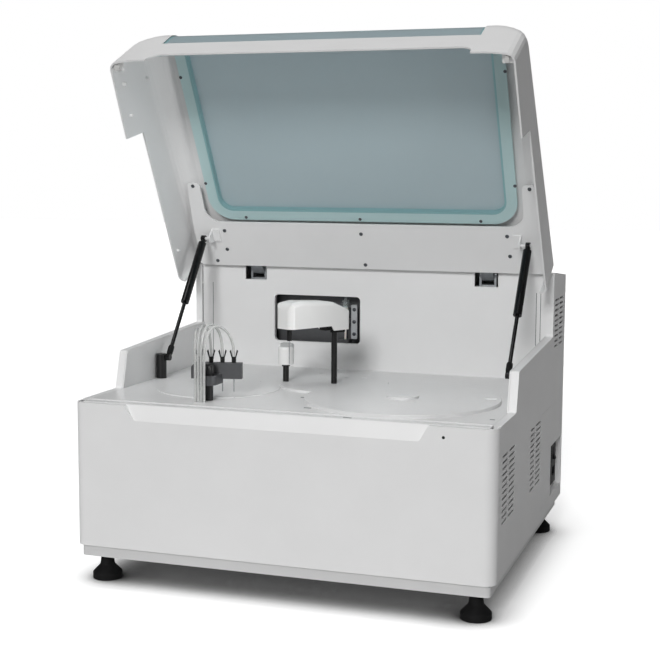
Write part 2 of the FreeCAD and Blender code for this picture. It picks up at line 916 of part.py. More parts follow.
def right_side_panel():
    """The right side also has the access opening and the sunk power bay."""
    panel = side_panel()
    panel = panel.cut(box(half - panel_depth, half + overrun, access_front, access_rear,
                          access_bottom, access_top))
    floor = half - bay_depth - skin
    tub = box(floor, half, bay_front - skin, bay_rear + skin, bay_bottom - skin, bay_top + skin)
    panel = join(panel, tub)
    panel = panel.cut(box(half - bay_depth, half + overrun, bay_front, bay_rear, bay_bottom, bay_top))
    hole = box(floor - overrun, half, module_front + module_body_inset,
               module_front + module_width - module_body_inset,
               module_bottom + module_body_inset, module_bottom + module_height - module_body_inset)
    return panel.cut(hole)


def access_panel():
    """Cover plate in its opening, with a lip behind the wall."""
    plate = box(half - skin, half, access_front + joint_gap, access_rear - joint_gap,
                access_bottom + joint_gap, access_top - joint_gap)
    lip_rear = bay_front - skin - joint_gap
    lip = box(half - skin - access_lip_sheet, half - skin, access_front - access_lip, lip_rear,
              access_bottom - access_lip, access_top + access_lip)
    return join(plate, lip)


def rocker_axis():
    return half - bay_depth + module_plate, module_front + module_width / 2, module_bottom + rocker_rise


def power_module():
    """Inlet and switch body through the bay floor, with a plate on it."""
    face = half - bay_depth
    rear = module_front + module_width
    top = module_bottom + module_height
    plate = box(face, face + module_plate, module_front, rear, module_bottom, top)
    edge = module_body_inset + joint_gap
    body = box(face - module_body_depth, face, module_front + edge, rear - edge,
               module_bottom + edge, top - edge)
    module = join(plate, body)
    x, y, z = rocker_axis()
    inlet_z = module_bottom + inlet_rise
    inlet = box(x - inlet_depth, x + overrun, y - inlet_width / 2, y + inlet_width / 2,
                inlet_z - inlet_height / 2, inlet_z + inlet_height / 2)
    module = module.cut(inlet)
    pins = []
    for step in (-1, 0, 1):
        pins.append(box(x - inlet_depth, x - inlet_depth + pin_length,
                        y + step * pin_spread - pin_width / 2, y + step * pin_spread + pin_width / 2,
                        inlet_z - pin_height / 2, inlet_z + pin_height / 2))
    module = join(module, *pins)
    tall = rocker_half + rocker_clear
    wide = rocker_width / 2 + joint_gap
    module = module.cut(box(x - rocker_well, x + overrun, y - wide, y + wide, z - tall, z + tall))
    reach = rocker_width / 2 + rocker_pin_reach + joint_gap
    return module.cut(cylinder(x, y - reach, z, rocker_pin_radius + running, 2 * reach, backward))


def rocker_switch():
    """Two-lobed rocker with trunnions, tilted to its off side."""
    x, y, z = rocker_axis()
    lobe = [(x - rocker_back, z - rocker_rear_half), (x + rocker_nose, z - rocker_half),
            (x + rocker_waist, z), (x + rocker_nose, z + rocker_half),
            (x - rocker_back, z + rocker_rear_half)]
    body = prism_y(lobe, y - rocker_width / 2, y + rocker_width / 2)
    reach = rocker_width / 2 + rocker_pin_reach
    rocker = join(body, cylinder(x, y - reach, z, rocker_pin_radius, 2 * reach, backward))
    rocker.rotate(point(x, y, z), backward, -rocker_tilt)
    return rocker


def column_bushes():
    """Place, column radius of the three upright columns that pass through the deck."""
    return ((probe_x, probe_y, probe_column_radius), (mixer_x, mixer_y, mixer_column_radius),
            (wash_x, wash_y, wash_column_radius))


def wash_needle_places():
    places = []
    angle = math.radians(wash_bar_angle)
    for i in range(nozzle_count):
        along = (i - (nozzle_count - 1) / 2) * nozzle_spacing
        places.append((wash_bar_x + along * math.cos(angle), wash_bar_y + along * math.sin(angle)))
    return places


def hose_hole_places():
    return [(wash_x + steps[-1][0], wash_y + steps[-1][1]) for steps in hose_steps]


def deck_panel():
    """Deck plate with the wing liners, the probe plateau, the raised reaction ring and its holes."""
    bottom = deck_top - skin
    wall_rear = wall_front + skin
    deck = box(-wall_half, wall_half, deck_front, wall_rear, bottom, deck_top)
    sample_hole = cylinder(sample_x, sample_y, bottom - overrun, sample_hole_radius, skin + 2 * overrun)
    island = cylinder(probe_x, probe_y, bottom - overrun, plateau_radius, skin + 2 * overrun)
    deck = deck.cut(sample_hole.cut(island))
    plateau = cylinder(probe_x, probe_y, deck_top, plateau_radius, plateau_height)
    ring = cylinder(reaction_x, reaction_y, deck_top, ring_radius, ring_height)
    lip = box(-wall_half, wall_half, deck_lip_y, deck_lip_y + deck_lip, deck_top, deck_top + deck_lip_height)
    liner_front = wall_front - joint_gap
    rear_z = wing_front_z + (wing_rear_z - wing_front_z) * (liner_front - wing_front_y) / (
        wing_rear_y - wing_front_y)
    wing = [(wing_foot_y, bottom), (wing_foot_y, deck_top), (wing_front_y, wing_front_z),
            (liner_front, rear_z), (liner_front, bottom)]
    wing_radii = [0, wing_corner, wing_corner, 0, 0]
    left = prism_x(wing, -wall_half, -wall_half + liner, wing_radii)
    right = prism_x(wing, wall_half - liner, wall_half, wing_radii)
    bushes = [cylinder(x, y, deck_top - bush_length, radius + bush_wall, bush_length)
              for x, y, radius in column_bushes()]
    deck = join(deck, plateau, ring, lip, left, right, *bushes)
    drop = deck_top - bush_length - overrun
    height = bush_length + plateau_height + 2 * overrun
    holes = [cylinder(x, y, drop, radius + running, height) for x, y, radius in column_bushes()]
    holes += [cylinder(x, y, drop, needle_hole, height) for x, y in wash_needle_places()]
    clear = hose_radius + hose_hole_clear
    holes += [cylinder(x, y, drop, clear, height) for x, y in hose_hole_places()]
    paddle_x, paddle_y = mixer_drop_place()
    holes.append(cylinder(paddle_x, paddle_y, drop, needle_hole, height))
    for step_x, step_y in slot_steps:
        x, y = probe_x + step_x, probe_y + step_y
        corners = rectangle(x - slot_half, x + slot_half, y - slot_radius, y + slot_radius)
        holes.append(prism_z(corners, drop, drop + height, slot_corner))
    return deck.cut(Part.makeCompound(holes))


def mixer_drop_place():
    """Where the paddle dips into a cuvette after the mixer has swung over the ring."""
    towards = math.atan2(reaction_y - mixer_y, reaction_x - mixer_x)
    span = math.hypot(reaction_x - mixer_x, reaction_y - mixer_y)
    cosine = (span ** 2 + mixer_reach ** 2 - cuvette_ring ** 2) / (2 * span * mixer_reach)
    angle = towards - math.acos(cosine)
    return mixer_x + mixer_reach * math.cos(angle), mixer_y + mixer_reach * math.sin(angle)


def rear_wall():
    """Wall behind the work area, with a flange round its window and one to the hinge beam."""
    wall = box(-wall_half, wall_half, wall_front, wall_front + skin, deck_top, hinge_beam_top)
    beam_front = rear_post_y - tube / 2
    flange_top = box(-wall_half, wall_half, wall_front, beam_front, hinge_beam_top - skin, hinge_beam_top)
    hole = rectangle(rear_window_left, rear_window_right, rear_window_bottom, rear_window_top)
    collar = prism_y(inset(hole, -skin), wall_front, wall_front + rear_window_return,
                     rear_window_corner + skin)
    wall = join(wall, flange_top, collar)
    return wall.cut(prism_y(hole, wall_front - overrun, wall_front + rear_window_return + overrun,
                            rear_window_corner))


def shoulder_z(y):
    """Height of the top line of the housing behind the lid."""
    return shoulder_front_z + (shoulder_rear_z - shoulder_front_z) * (y - wing_rear_y) / (
        depth - wing_rear_y)


def rear_top_cover():
    """Angled cover over the hinge beam, notched where the lid arms swing up."""
    front, rear = wall_front, depth
    low = shoulder_rear_z - rear_flange
    profile = [(front, hinge_beam_top), (front, shoulder_z(front)), (rear, shoulder_z(rear)), (rear, low),
               (rear - skin, low), (rear - skin, shoulder_z(rear - skin) - skin),
               (front + skin, shoulder_z(front + skin) - skin), (front + skin, hinge_beam_top)]
    cover = prism_x(profile, -wall_half, wall_half, [0, wing_corner, wing_corner, 0, 0, 0, 0, 0])
    for x in (-hinge_x, hinge_x):
        cover = cover.cut(box(x - notch_width / 2, x + notch_width / 2, front - overrun, notch_rear,
                              hinge_beam_top - overrun, shoulder_front_z + overrun))
    return cover


def rear_panel():
    """Sheet at the back with a fan grille and three tube ports."""
    top = shoulder_rear_z - rear_flange
    panel = box(-wall_half, wall_half, depth - skin, depth, cover_bottom, top)
    ports = []
    for i in range(port_count):
        ports.append(cylinder(port_x + i * port_spacing, depth - skin - port_collar, port_z, port_radius,
                              port_collar + skin, backward))
    panel = join(panel, *ports)
    cuts = []
    for i in range(port_count):
        cuts.append(cylinder(port_x + i * port_spacing, depth - skin - port_collar - overrun, port_z,
                             sheet - running, port_collar + skin + 2 * overrun, backward))
    for i in range(grille_slots):
        z = fan_z + (i - (grille_slots - 1) / 2) * grille_pitch
        cuts.append(box(fan_x - fan_bore, fan_x + fan_bore, depth - skin - overrun, depth + overrun,
                        z - grille_slot / 2, z + grille_slot / 2))
    return panel.cut(Part.makeCompound(cuts))


def hinge_brackets():
    """Two forks on the hinge beam; each cheek is rounded about the hinge pin."""
    forks = []
    for x in (-hinge_x, hinge_x):
        fork = box(x - arm_width / 2 - joint_gap - cheek, x + arm_width / 2 + joint_gap + cheek,
                   rear_post_y - tube / 2, rear_post_y + tube / 2, hinge_beam_top,
                   hinge_beam_top + cheek_base)
        for s in (-1, 1):
            inner = x + s * (arm_width / 2 + joint_gap)
            x0, x1 = sorted((inner, inner + s * cheek))
            plate = box(x0, x1, hinge_y - cheek_radius, hinge_y + cheek_radius, hinge_beam_top, hinge_z)
            fork = join(fork, plate, cylinder(x0, hinge_y, hinge_z, cheek_radius, cheek, across))
        length = arm_width + 4 * cheek
        bore = cylinder(x - length / 2, hinge_y, hinge_z, pin_radius + running, length, across)
        forks.append(fork.cut(bore))
    return forks


def hinge_pins():
    reach = arm_width / 2 + joint_gap + cheek + pin_proud
    return [cylinder(x - reach, hinge_y, hinge_z, pin_radius, 2 * reach, across) for x in (-hinge_x, hinge_x)]


def strut_posts():
    """Two posts on the deck; the lower strut balls stand at their tops."""
    top = strut_foot_z + post_cap
    posts = []
    for x in (-post_x, post_x):
        post = cylinder(x, strut_foot_y, deck_top, post_radius, top - deck_top)
        rim = [edge for edge in post.Edges if edge.BoundBox.ZMin > top - joint_gap]
        posts.append(post.makeFillet(sheet, rim))
    return posts


# Lid, drawn closed

def lid_profile(share, inset_by=0, rim_by=0):
    """Side view of the lid between its flat middle (share 0) and its side (share 1).

    inset_by moves the front, top and rear lines inward, rim_by the lower rim outward.
    """
    def mix(middle, side):
        return middle + (side - middle) * share

    front_y = mix(lid_front_y, lid_side_front_y)
    brow_lean = lid_front_lean
    top_y, top_z = mix(lid_top_y, lid_side_top_y), mix(lid_top_z, lid_side_top_z)
    rear_y, rear_z = mix(lid_rear_y, lid_side_rear_y), mix(lid_rear_z, lid_side_rear_z)
    tail_y = mix(lid_tail_y, lid_side_rear_y + lid_side_tail)
    slope = (rear_z - top_z) / (rear_y - top_y)
    lean = brow_lean / (lid_brow_z - lid_rim_z)
    brow_z = (top_z + slope * (front_y - top_y - lean * lid_rim_z)) / (1 - slope * lean)
    brow_y = front_y + lean * (brow_z - lid_rim_z)
    corners = [(front_y, lid_rim_z), (brow_y, brow_z), (rear_y, rear_z), (tail_y, lid_frame_top),
               (lid_side_rear_y, wing_rear_z + rim_rear_gap),
               (wing_front_y - rim_front_gap, wing_front_z + rim_front_gap),
               (wing_foot_y - rim_foot_gap, deck_top + rim_gap)]
    moved = moved_edges(corners, [inset_by] * 4 + [-rim_by] * 3)
    return moved, mix(lid_brow_radius, lid_side_brow_radius) - inset_by


def lid_section(back_off, inset_by, rim_by, share):
    """Wire of the lid at a side plane; back_off is its distance inside the lid's outer side."""
    corners, brow = lid_profile(share, inset_by, rim_by)
    flare = (lid_half_rear - lid_half_front) / lid_side_rear_y
    spread = []
    for y, z in corners:
        x = lid_flat_half if share == 0 else lid_half_front + flare * y - back_off
        spread.append(point(x, y, z))
    return outline(spread, [0, brow, 0, 0, 0, 0, 0])


def lid_side_block(wall, rim_by):
    """Right part of the lid outside its flat middle, with a rounded outer edge."""
    radius = lid_edge_radius - wall
    run = (lid_half_front + lid_half_rear) / 2 - lid_flat_half
    sections = [lid_section(0, wall, rim_by, 0)]
    places = [(run * (1 - share), wall) for share in lid_crown_shares]
    for angle in (0, 30, 60, 90):
        turn = math.radians(angle)
        places.append((wall + radius * (1 - math.sin(turn)), wall + radius * (1 - math.cos(turn))))
    for back_off, inset_by in places:
        sections.append(lid_section(back_off, inset_by, rim_by, (1 - back_off / run) ** 2))
    return Part.makeLoft(sections, True, True)


def lid_body(wall, rim_by):
    corners, brow = lid_profile(0, wall, rim_by)
    middle = prism_x(corners, -lid_flat_half, lid_flat_half, [0, brow, 0, 0, 0, 0, 0])
    side = lid_side_block(wall, rim_by)
    return join(middle, side, mirrored(side))


def middle_prism(inset_by, half_width):
    corners, brow = lid_profile(0, inset_by, 0)
    return prism_x(corners, -half_width, half_width, [0, brow, 0, 0, 0, 0, 0])


def window_region(grow):
    """Upright prism over the window opening, its rear corners rounded, grown by grow."""
    plan = rectangle(-opening_half - grow, opening_half + grow, -skin, opening_rear + grow)
    corner = opening_corner + grow
    top = lid_rear_z + skin
    return prism_z(plan, opening_front_z - grow, top, [0, 0, corner, corner])


def lid_shell():
    outer = lid_body(0, 0)
    shell = outer.cut(lid_body(skin, overrun))
    tail = box(-lid_half_front + skin, lid_half_front - skin, frame_front, lid_tail_y + skin,
               wing_rear_z - skin, lid_frame_top)
    shell = shell.cut(tail)
    seat = middle_prism(skin / 2, lid_flat_half).cut(middle_prism(window_seat, lid_flat_half))
    returns = window_region(skin).common(seat)
    parts = [returns]
    for x in (-frame_rib_x, frame_rib_x):
        rib = box(x - skin / 2, x + skin / 2, trim_front + skin, lid_side_rear_y - skin, lid_frame_top,
                  lid_rear_z + skin)
        parts.append(rib.common(outer))
    for s in (-1, 1):
        x0, x1 = sorted((s * (bumper_x - bumper_block_half), s * lid_half_rear))
        block = box(x0, x1, lid_front_y, bumper_block_rear, bumper_socket, bumper_block_top)
        parts.append(block.common(outer))
    shell = join(shell, *parts)
    shell = shell.cut(window_region(0))
    arch = rectangle(-lip_arch_half, lip_arch_half, lid_rim_z - lip_arch_corner, lip_arch_top)
    shell = shell.cut(prism_y(arch, -overrun, bumper_block_rear, [0, 0, lip_arch_corner, lip_arch_corner]))
    for x in (-hinge_x, hinge_x):
        shell = shell.cut(box(x - arm_width / 2 - overrun, x + arm_width / 2 + overrun,
                              lid_side_rear_y - 2 * skin, lid_tail_y + skin, lid_frame_top - overrun,
                              lid_rear_z - skin - sheet))
    return shell


def lid_window():
    """Tinted panel sunk into the shell, with side walls and a seating flange under the shell."""
    region = window_region(-joint_gap)
    band = middle_prism(window_sink, lid_flat_half).cut(middle_prism(window_seat + skin, lid_flat_half))
    hollow = middle_prism(window_sink + skin, lid_flat_half).common(window_region(-skin - joint_gap))
    panel = band.common(region).cut(hollow)
    reach = opening_half + window_flange
    flange = middle_prism(window_seat, reach).cut(middle_prism(window_seat + skin, reach))
    flange = flange.common(window_region(window_flange)).cut(window_region(-skin - joint_gap))
    return join(panel, flange)


def lid_inner_frame():
    """Rear band and two side trims inside the lid, in one plane, drawn round the window flange."""
    bottom = lid_frame_top - frame_sheet
    plan = [(-trim_outer, trim_front), (-trim_inner, trim_front), (-trim_inner, frame_front),
            (trim_inner, frame_front), (trim_inner, trim_front), (trim_outer, trim_front),
            (frame_half, frame_front), (frame_half, frame_rear), (-frame_half, frame_rear),
            (-frame_half, frame_front)]
    small = 2 * skin
    return prism_z(plan, bottom, lid_frame_top,
                   [small, small, frame_corner, frame_corner, small, small, 0, small, small, 0])


def lid_bumpers():
    bottom = deck_top + joint_gap
    block = bumper_socket
    return [cylinder(x, bumper_y, bottom, bumper_radius, block - bottom) for x in (-bumper_x, bumper_x)]


def hinge_arms():
    """Arms from the inner frame to the hinge pins."""
    low = lid_frame_top
    high = low + arm_thick
    profile = [(hinge_y - arm_length, low), (hinge_y - arm_heel, low), (hinge_y - arm_knee, high),
               (hinge_y, hinge_z - arm_boss), (hinge_y, hinge_z + arm_boss),
               (hinge_y - arm_neck, hinge_z - arm_neck_drop),
               (hinge_y - arm_shoulder, high + arm_shoulder_rise), (hinge_y - arm_length, high)]
    arms = []
    for x in (-hinge_x, hinge_x):
        x0 = x - arm_width / 2
        arm = join(prism_x(profile, x0, x0 + arm_width),
                   cylinder(x0, hinge_y, hinge_z, arm_boss, arm_width, across))
        bore = cylinder(x0 - overrun, hinge_y, hinge_z, pin_radius + running, arm_width + 2 * overrun, across)
        arms.append(arm.cut(bore))
    return arms


def strut_brackets():
    """Angle brackets below the inner frame, each with the stud of the upper strut eye."""
    top = lid_frame_top - frame_sheet
    foot_plate = box(bracket_inner, bracket_outer, strut_head_y - bracket_half, strut_head_y + bracket_half,
                     top - bracket_sheet, top)
    cheek_plate = prism_x([(strut_head_y - bracket_half, top), (strut_head_y + bracket_half, top),
                           (strut_head_y + strut_eye, strut_head_z - strut_eye),
                           (strut_head_y - strut_eye, strut_head_z - strut_eye)],
                          bracket_outer - bracket_sheet, bracket_outer, [0, 0, strut_eye / 2, strut_eye / 2])
    stud = cylinder(bracket_outer - bracket_sheet, strut_head_y, strut_head_z, strut_stud,
                    strut_x + strut_eye_half + sheet / 2 - bracket_outer + bracket_sheet, across)
    bracket = join(foot_plate, cheek_plate, stud)
    return [bracket, mirrored(bracket)]


# Gas struts, drawn upright from the lower ball and leaned to the open lid's bracket

def strut_head_open():
    turn = math.radians(lid_open_angle)
    dy, dz = strut_head_y - hinge_y, strut_head_z - hinge_z
    return (hinge_y + dy * math.cos(turn) + dz * math.sin(turn),
            hinge_z - dy * math.sin(turn) + dz * math.cos(turn))


def strut_length():
    y, z = strut_head_open()
    return math.hypot(y - strut_foot_y, z - strut_foot_z)


def strut_rod_end():
    return strut_length() - strut_neck - strut_body_length + strut_rod_inside


def strut_place(shape, side):
    y, z = strut_head_open()
    lean = math.degrees(math.atan2(y - strut_foot_y, z - strut_foot_z))
    result = shape.copy()
    result.rotate(point(0, 0, 0), across, -lean)
    result.translate(point(strut_x, strut_foot_y, strut_foot_z))
    return result if side > 0 else mirrored(result)


def strut_rod():
    """Rod with the lower ball end, its stud towards the post, and the piston."""
    ball = cylinder(-strut_eye_half, 0, 0, strut_eye, 2 * strut_eye_half, across)
    stud_length = post_x - post_radius - strut_x - joint_gap
    stud = cylinder(0, 0, 0, strut_stud, stud_length, across)
    end = strut_rod_end()
    rod = cylinder(0, 0, 0, strut_rod_radius, end)
    bore = strut_body_radius - strut_body_wall
    piston = cylinder(0, 0, end - strut_piston, bore - running, strut_piston)
    return join(ball, stud, rod, piston)


def strut_cylinder():
    """Cylinder with gland and upper eye; the rod slides in it."""
    top = strut_length() - strut_neck
    bottom = top - strut_body_length
    tube_wall = cylinder(0, 0, bottom, strut_body_radius, strut_body_length)
    neck = cylinder(0, 0, top, strut_neck_radius, strut_neck)
    eye = cylinder(-strut_eye_half, 0, strut_length(), strut_eye, 2 * strut_eye_half, across)
    body = join(tube_wall, neck, eye)
    bore = strut_body_radius - strut_body_wall
    room = strut_body_length - strut_gland - strut_body_wall - sheet
    body = body.cut(cylinder(0, 0, bottom + strut_gland, bore, room))
    body = body.cut(cylinder(0, 0, bottom - overrun, strut_rod_radius + running, strut_gland + 2 * overrun))
    stud_hole = cylinder(-strut_eye, 0, strut_length(), strut_stud + running, 2 * strut_eye, across)
    return body.cut(stud_hole)


# Lift towers and carriages

def tower(x, y, column_radius):
    """Foot plate, two guide rods and a top plate that the column passes."""
    plates = []
    for z in (tray_floor, tower_top - tower_plate):
        plates.append(box(x - tower_half, x + tower_half, y - tower_front, y + tower_rear, z, z + tower_plate))
    rods = [cylinder(x + s * guide_spread, y + guide_back, tray_floor, guide_radius, tower_top - tray_floor)
            for s in (-1, 1)]
    frame = join(*plates, *rods)
    return frame.cut(cylinder(x, y, tower_top - tower_plate - overrun, column_radius + overrun,
                              tower_plate + 2 * overrun))


def arm_towers():
    return [tower(x, y, radius) for x, y, radius in column_bushes()]


def carriage(x, y, column_radius):
    """Slider on the guide rods with the bearing of the column and a swing motor below it."""
    block = box(x - carriage_half, x + carriage_half, y - tower_front, y + carriage_rear,
                carriage_z, carriage_z + carriage_height)
    motor = box(x - swing_motor / 2, x + swing_motor / 2, y - tower_front, y + tower_front,
                carriage_z - swing_motor_height, carriage_z)
    body = join(block, motor)
    for s in (-1, 1):
        body = body.cut(cylinder(x + s * guide_spread, y + guide_back, carriage_z - overrun,
                                 guide_radius + running, carriage_height + 2 * overrun))
    return body.cut(cylinder(x, y, carriage_z, column_radius + running, carriage_height + overrun))


def column(x, y, radius, top):
    """Column from its bearing in the carriage, with a collar above the bearing."""
    shaft = cylinder(x, y, carriage_z + joint_gap, radius, top - carriage_z - joint_gap)
    collar_z = carriage_z + carriage_height + joint_gap
    return join(shaft, cylinder(x, y, collar_z, radius + collar_wall, collar_height))


# Probe, drawn along +X from its column

def probe_cover_side(wall):
    """Side view of the arm cover: low lobe round the column, straight underside, crowned top."""
    tail, tip = -probe_cover_tail + wall, probe_cover_tip - wall
    low = probe_cover_bottom - wall
    lobe = low - probe_lobe_drop
    span = probe_cover_tail + probe_cover_tip
    rises = [probe_cover_bottom + rise - wall for rise, radius in probe_crown]
    knees = [-probe_cover_tail + span * share for share in probe_crown_shares]
    corners = [(tail, lobe), (tail, rises[0]), (knees[0], rises[1]), (knees[1], rises[2]), (tip, rises[3]),
               (tip, low), (probe_lobe_lead + probe_lobe_slope + wall, low), (probe_lobe_lead + wall, lobe)]
    bends = [radius - wall for rise, radius in probe_crown]
    return corners, [0, *bends, 0, 0, 0]


def probe_cover_body(wall):
    """Side view carried across, with rounded plan corners and the long top edges rounded off."""
    half_width = probe_cover_width / 2
    corners, bends = probe_cover_side(wall)
    body = prism_y(corners, -half_width, half_width, bends)
    low, high = corners[0][1], probe_cover_bottom + probe_cover_width
    footprint = rectangle(corners[0][0], corners[5][0], -half_width + wall, half_width - wall)
    body = body.common(prism_z(footprint, low, high + probe_cover_width, probe_cover_corner - wall))
    for (x0, z0), (x1, z1) in zip(corners[1:4], corners[2:5]):
        section = rectangle(-half_width + wall, half_width - wall, z0 - 2 * probe_cover_width, z0)
        edge = probe_cover_edge - wall
        bar = prism_x(section, x0 - 2 * probe_cover_tip, x0 + 2 * probe_cover_tip, [0, 0, edge, edge])
        bar.rotate(point(x0, 0, z0), backward, -math.degrees(math.atan2(z1 - z0, x1 - x0)))
        body = body.common(bar)
    return body


def probe_arm_cover():
    """Crowned cover of the arm, open below."""
    cover = probe_cover_body(0).cut(probe_cover_body(probe_cover_skin))
    return turned(cover, probe_x, probe_y, probe_angle)


def probe_arm_base():
    """Black plate under the cover, the clamp hub on the column and the needle holder."""
    inner = probe_cover_width / 2 - probe_cover_skin - joint_gap
    footprint = rectangle(-probe_cover_tail + probe_cover_skin + joint_gap,
                          probe_cover_tip - probe_cover_skin - joint_gap, -inner, inner)
    bottom = probe_cover_bottom + probe_plate_lift
    corner = probe_cover_corner - probe_cover_skin
    plate = prism_z(footprint, bottom, bottom + probe_plate_height, corner)
    hub_z = probe_cover_bottom - probe_hub_drop
    hub = cylinder(0, 0, hub_z, probe_hub_radius, bottom - hub_z)
    clamp = box(-probe_hub_tail, 0, -probe_hub_radius, probe_hub_radius, hub_z, hub_z + probe_hub_sheet)
    stay = box(0, probe_hub_reach, -probe_hub_radius, probe_hub_radius, hub_z + probe_hub_sheet, bottom)
    holder = cylinder(probe_reach, 0, holder_bottom, holder_radius, bottom - holder_bottom)
    base = join(plate, hub, clamp, stay, holder)
    base = base.cut(cylinder(0, 0, hub_z - overrun, probe_column_radius + running,
                             probe_column_top - hub_z + overrun))
    base = base.cut(cylinder(probe_reach, 0, holder_bottom - overrun, needle_radius + running,
                             bottom - holder_bottom))
    return turned(base, probe_x, probe_y, probe_angle)


def probe_needle():
    """Needle with a short cone at its tip."""
    top = probe_cover_bottom - needle_socket_gap
    tip = needle_tip + 2 * needle_radius
    shaft = cylinder(probe_reach, 0, tip, needle_radius, top - tip)
    cone = Part.makeCone(needle_radius / 2, needle_radius, tip - needle_tip, point(probe_reach, 0, needle_tip))
    return turned(join(shaft, cone), probe_x, probe_y, probe_angle)


# Mixer, drawn along +X from its column

def mixer_column():
    shaft = column(mixer_x, mixer_y, mixer_column_radius, mixer_head_bottom)
    flange_z = mixer_head_bottom - mixer_flange_height
    return join(shaft, cylinder(mixer_x, mixer_y, flange_z, mixer_flange_radius, mixer_flange_height))


def mixer_head():
    """Pale rounded head with the paddle bearing at its far end."""
    plan = rectangle(-mixer_head_half, mixer_reach + mixer_head_half, -mixer_head_half, mixer_head_half)
    corner = mixer_head_half - running
    head = prism_z(plan, mixer_head_bottom, mixer_head_top, corner)
    rim = [edge for edge in head.Edges if edge.BoundBox.ZMin > mixer_head_top - overrun]
    head = head.makeFillet(mixer_head_edge, rim)
    socket = cylinder(mixer_reach, 0, mixer_head_bottom - overrun, paddle_shaft_radius + running,
                      paddle_socket + overrun + joint_gap)
    return turned(head.cut(socket), mixer_x, mixer_y, mixer_angle)


def mixer_paddle():
    shaft_bottom = paddle_tip + paddle_blade / 2
    shaft = cylinder(mixer_reach, 0, shaft_bottom, paddle_shaft_radius,
                     mixer_head_bottom + paddle_socket - shaft_bottom)
    blade = box(mixer_reach - paddle_half, mixer_reach + paddle_half, -paddle_sheet / 2, paddle_sheet / 2,
                paddle_tip, paddle_tip + paddle_blade)
    return turned(join(shaft, blade), mixer_x, mixer_y, mixer_angle)


# Wash station

def wash_column():
    """Column guided in the deck, with the stud that carries the block and its clamp knob."""
    shaft = cylinder(wash_x, wash_y, carriage_z, wash_column_radius, wash_block_bottom - carriage_z)
    stud = cylinder(wash_x, wash_y, wash_block_bottom, wash_stud_radius, wash_block_top - wash_block_bottom)
    knob = cylinder(wash_x, wash_y, wash_block_top, wash_knob_radius, wash_knob_top - wash_block_top)
    rim = [edge for edge in knob.Edges if edge.BoundBox.ZMin > wash_knob_top - joint_gap]
    knob = knob.makeFillet(wash_knob_crown, rim)
    yoke = box(wash_x - carriage_half, wash_x + carriage_half, wash_y - tower_front, wash_y + carriage_rear,
               carriage_z, carriage_z + carriage_height)
    body = join(shaft, stud, knob, yoke)
    for s in (-1, 1):
        body = body.cut(cylinder(wash_x + s * guide_spread, wash_y + guide_back, carriage_z - overrun,
                                 guide_radius + running, carriage_height + 2 * overrun))
    return body


def wash_block():
    """Half-round clamp block on the stud and the bar that holds the nozzles."""
    bar = box(-wash_bar_half, wash_bar_half, -wash_bar_thickness / 2, wash_bar_thickness / 2,
              wash_bar_bottom, wash_bar_top)
    chamfer = prism_y([(-wash_bar_half - overrun, wash_bar_top - wash_bar_chamfer - overrun),
                       (-wash_bar_half - overrun, wash_bar_top + overrun),
                       (-wash_bar_half + wash_bar_chamfer + overrun, wash_bar_top + overrun)],
                      -wash_bar_thickness, wash_bar_thickness)
    bar = turned(bar.cut(chamfer), wash_bar_x, wash_bar_y, wash_bar_angle)
    clamp = cylinder(wash_x, wash_y, wash_block_bottom, wash_block_radius, wash_block_top - wash_block_bottom)
    web = box(wash_x - wash_block_radius, wash_x + wash_block_radius, wash_y, wash_bar_y,
              wash_block_bottom, wash_block_top)
    block = join(clamp, web, bar)
    height = wash_bar_top - wash_block_bottom + 2 * overrun
    for x, y in wash_needle_places():
        block = block.cut(cylinder(x, y, wash_block_bottom - overrun, wash_needle_radius + running, height))
    return block.cut(cylinder(wash_x, wash_y, wash_block_bottom - overrun, wash_stud_radius + running, height))


def wash_nozzles():
    """Winged push-on connectors on the bar, one for each hose."""
    pairs = [(a * nozzle_half, wash_bar_top + b * nozzle_height) for a, b in nozzle_outline_shares]
    nozzle = prism_y(pairs, -nozzle_thickness / 2, nozzle_thickness / 2)
    crotch = nozzle_seat()
    nozzle = nozzle.cut(cylinder(0, 0, wash_bar_top - overrun, wash_needle_radius + running,
                                 crotch - wash_bar_top))
    return [turned(nozzle, x, y, wash_bar_angle) for x, y in wash_needle_places()]


def nozzle_seat():
    return wash_bar_top + nozzle_outline_shares[5][1] * nozzle_height


def wash_needles():
    top = nozzle_seat() - overrun
    return [cylinder(x, y, wash_needle_tip, wash_needle_radius, top - wash_needle_tip)
            for x, y in wash_needle_places()]


def tube_path(points):
    """Straight runs joined by tangent arcs, each as large as its two runs allow."""
    edges, radii = [], []
    last = points[0]
    for i in range(1, len(points) - 1):
        back, ahead = points[i - 1] - points[i], points[i + 1] - points[i]
        reach = hose_run_share * min(back.Length, ahead.Length)
        half_turn = (math.pi - back.getAngle(ahead)) / 2
        radii.append(reach / math.tan(half_turn))
        start, middle, end = corner_points(points[i - 1], points[i], points[i + 1], radii[-1])
        edges.append(Part.LineSegment(last, start).toShape())
        edges.append(Part.Arc(start, middle, end).toShape())
        last = end
    edges.append(Part.LineSegment(last, points[-1]).toShape())
    return Part.Wire(edges), radii


def wash_hoses():
    hoses = []
    for steps in hose_steps:
        points = [point(wash_x + x, wash_y + y, deck_top + z) for x, y, z in steps]
        path, radii = tube_path(points)
        direction = points[1] - points[0]
        ring = Part.Wire(Part.makeCircle(hose_radius, points[0], direction))
        hose = path.makePipeShell([ring], True, False)
        expected = math.pi * hose_radius ** 2 * path.Length
        print("hose length", round(path.Length, 1), "volume ratio", round(hose.Volume / expected, 4),
              "radii", [round(r, 1) for r in radii])
        hoses.append(hose)
    for i in range(len(hoses) - 1):
        print("hose gap", round(hoses[i].distToShape(hoses[i + 1])[0], 2))
    return hoses


# Discs and wells

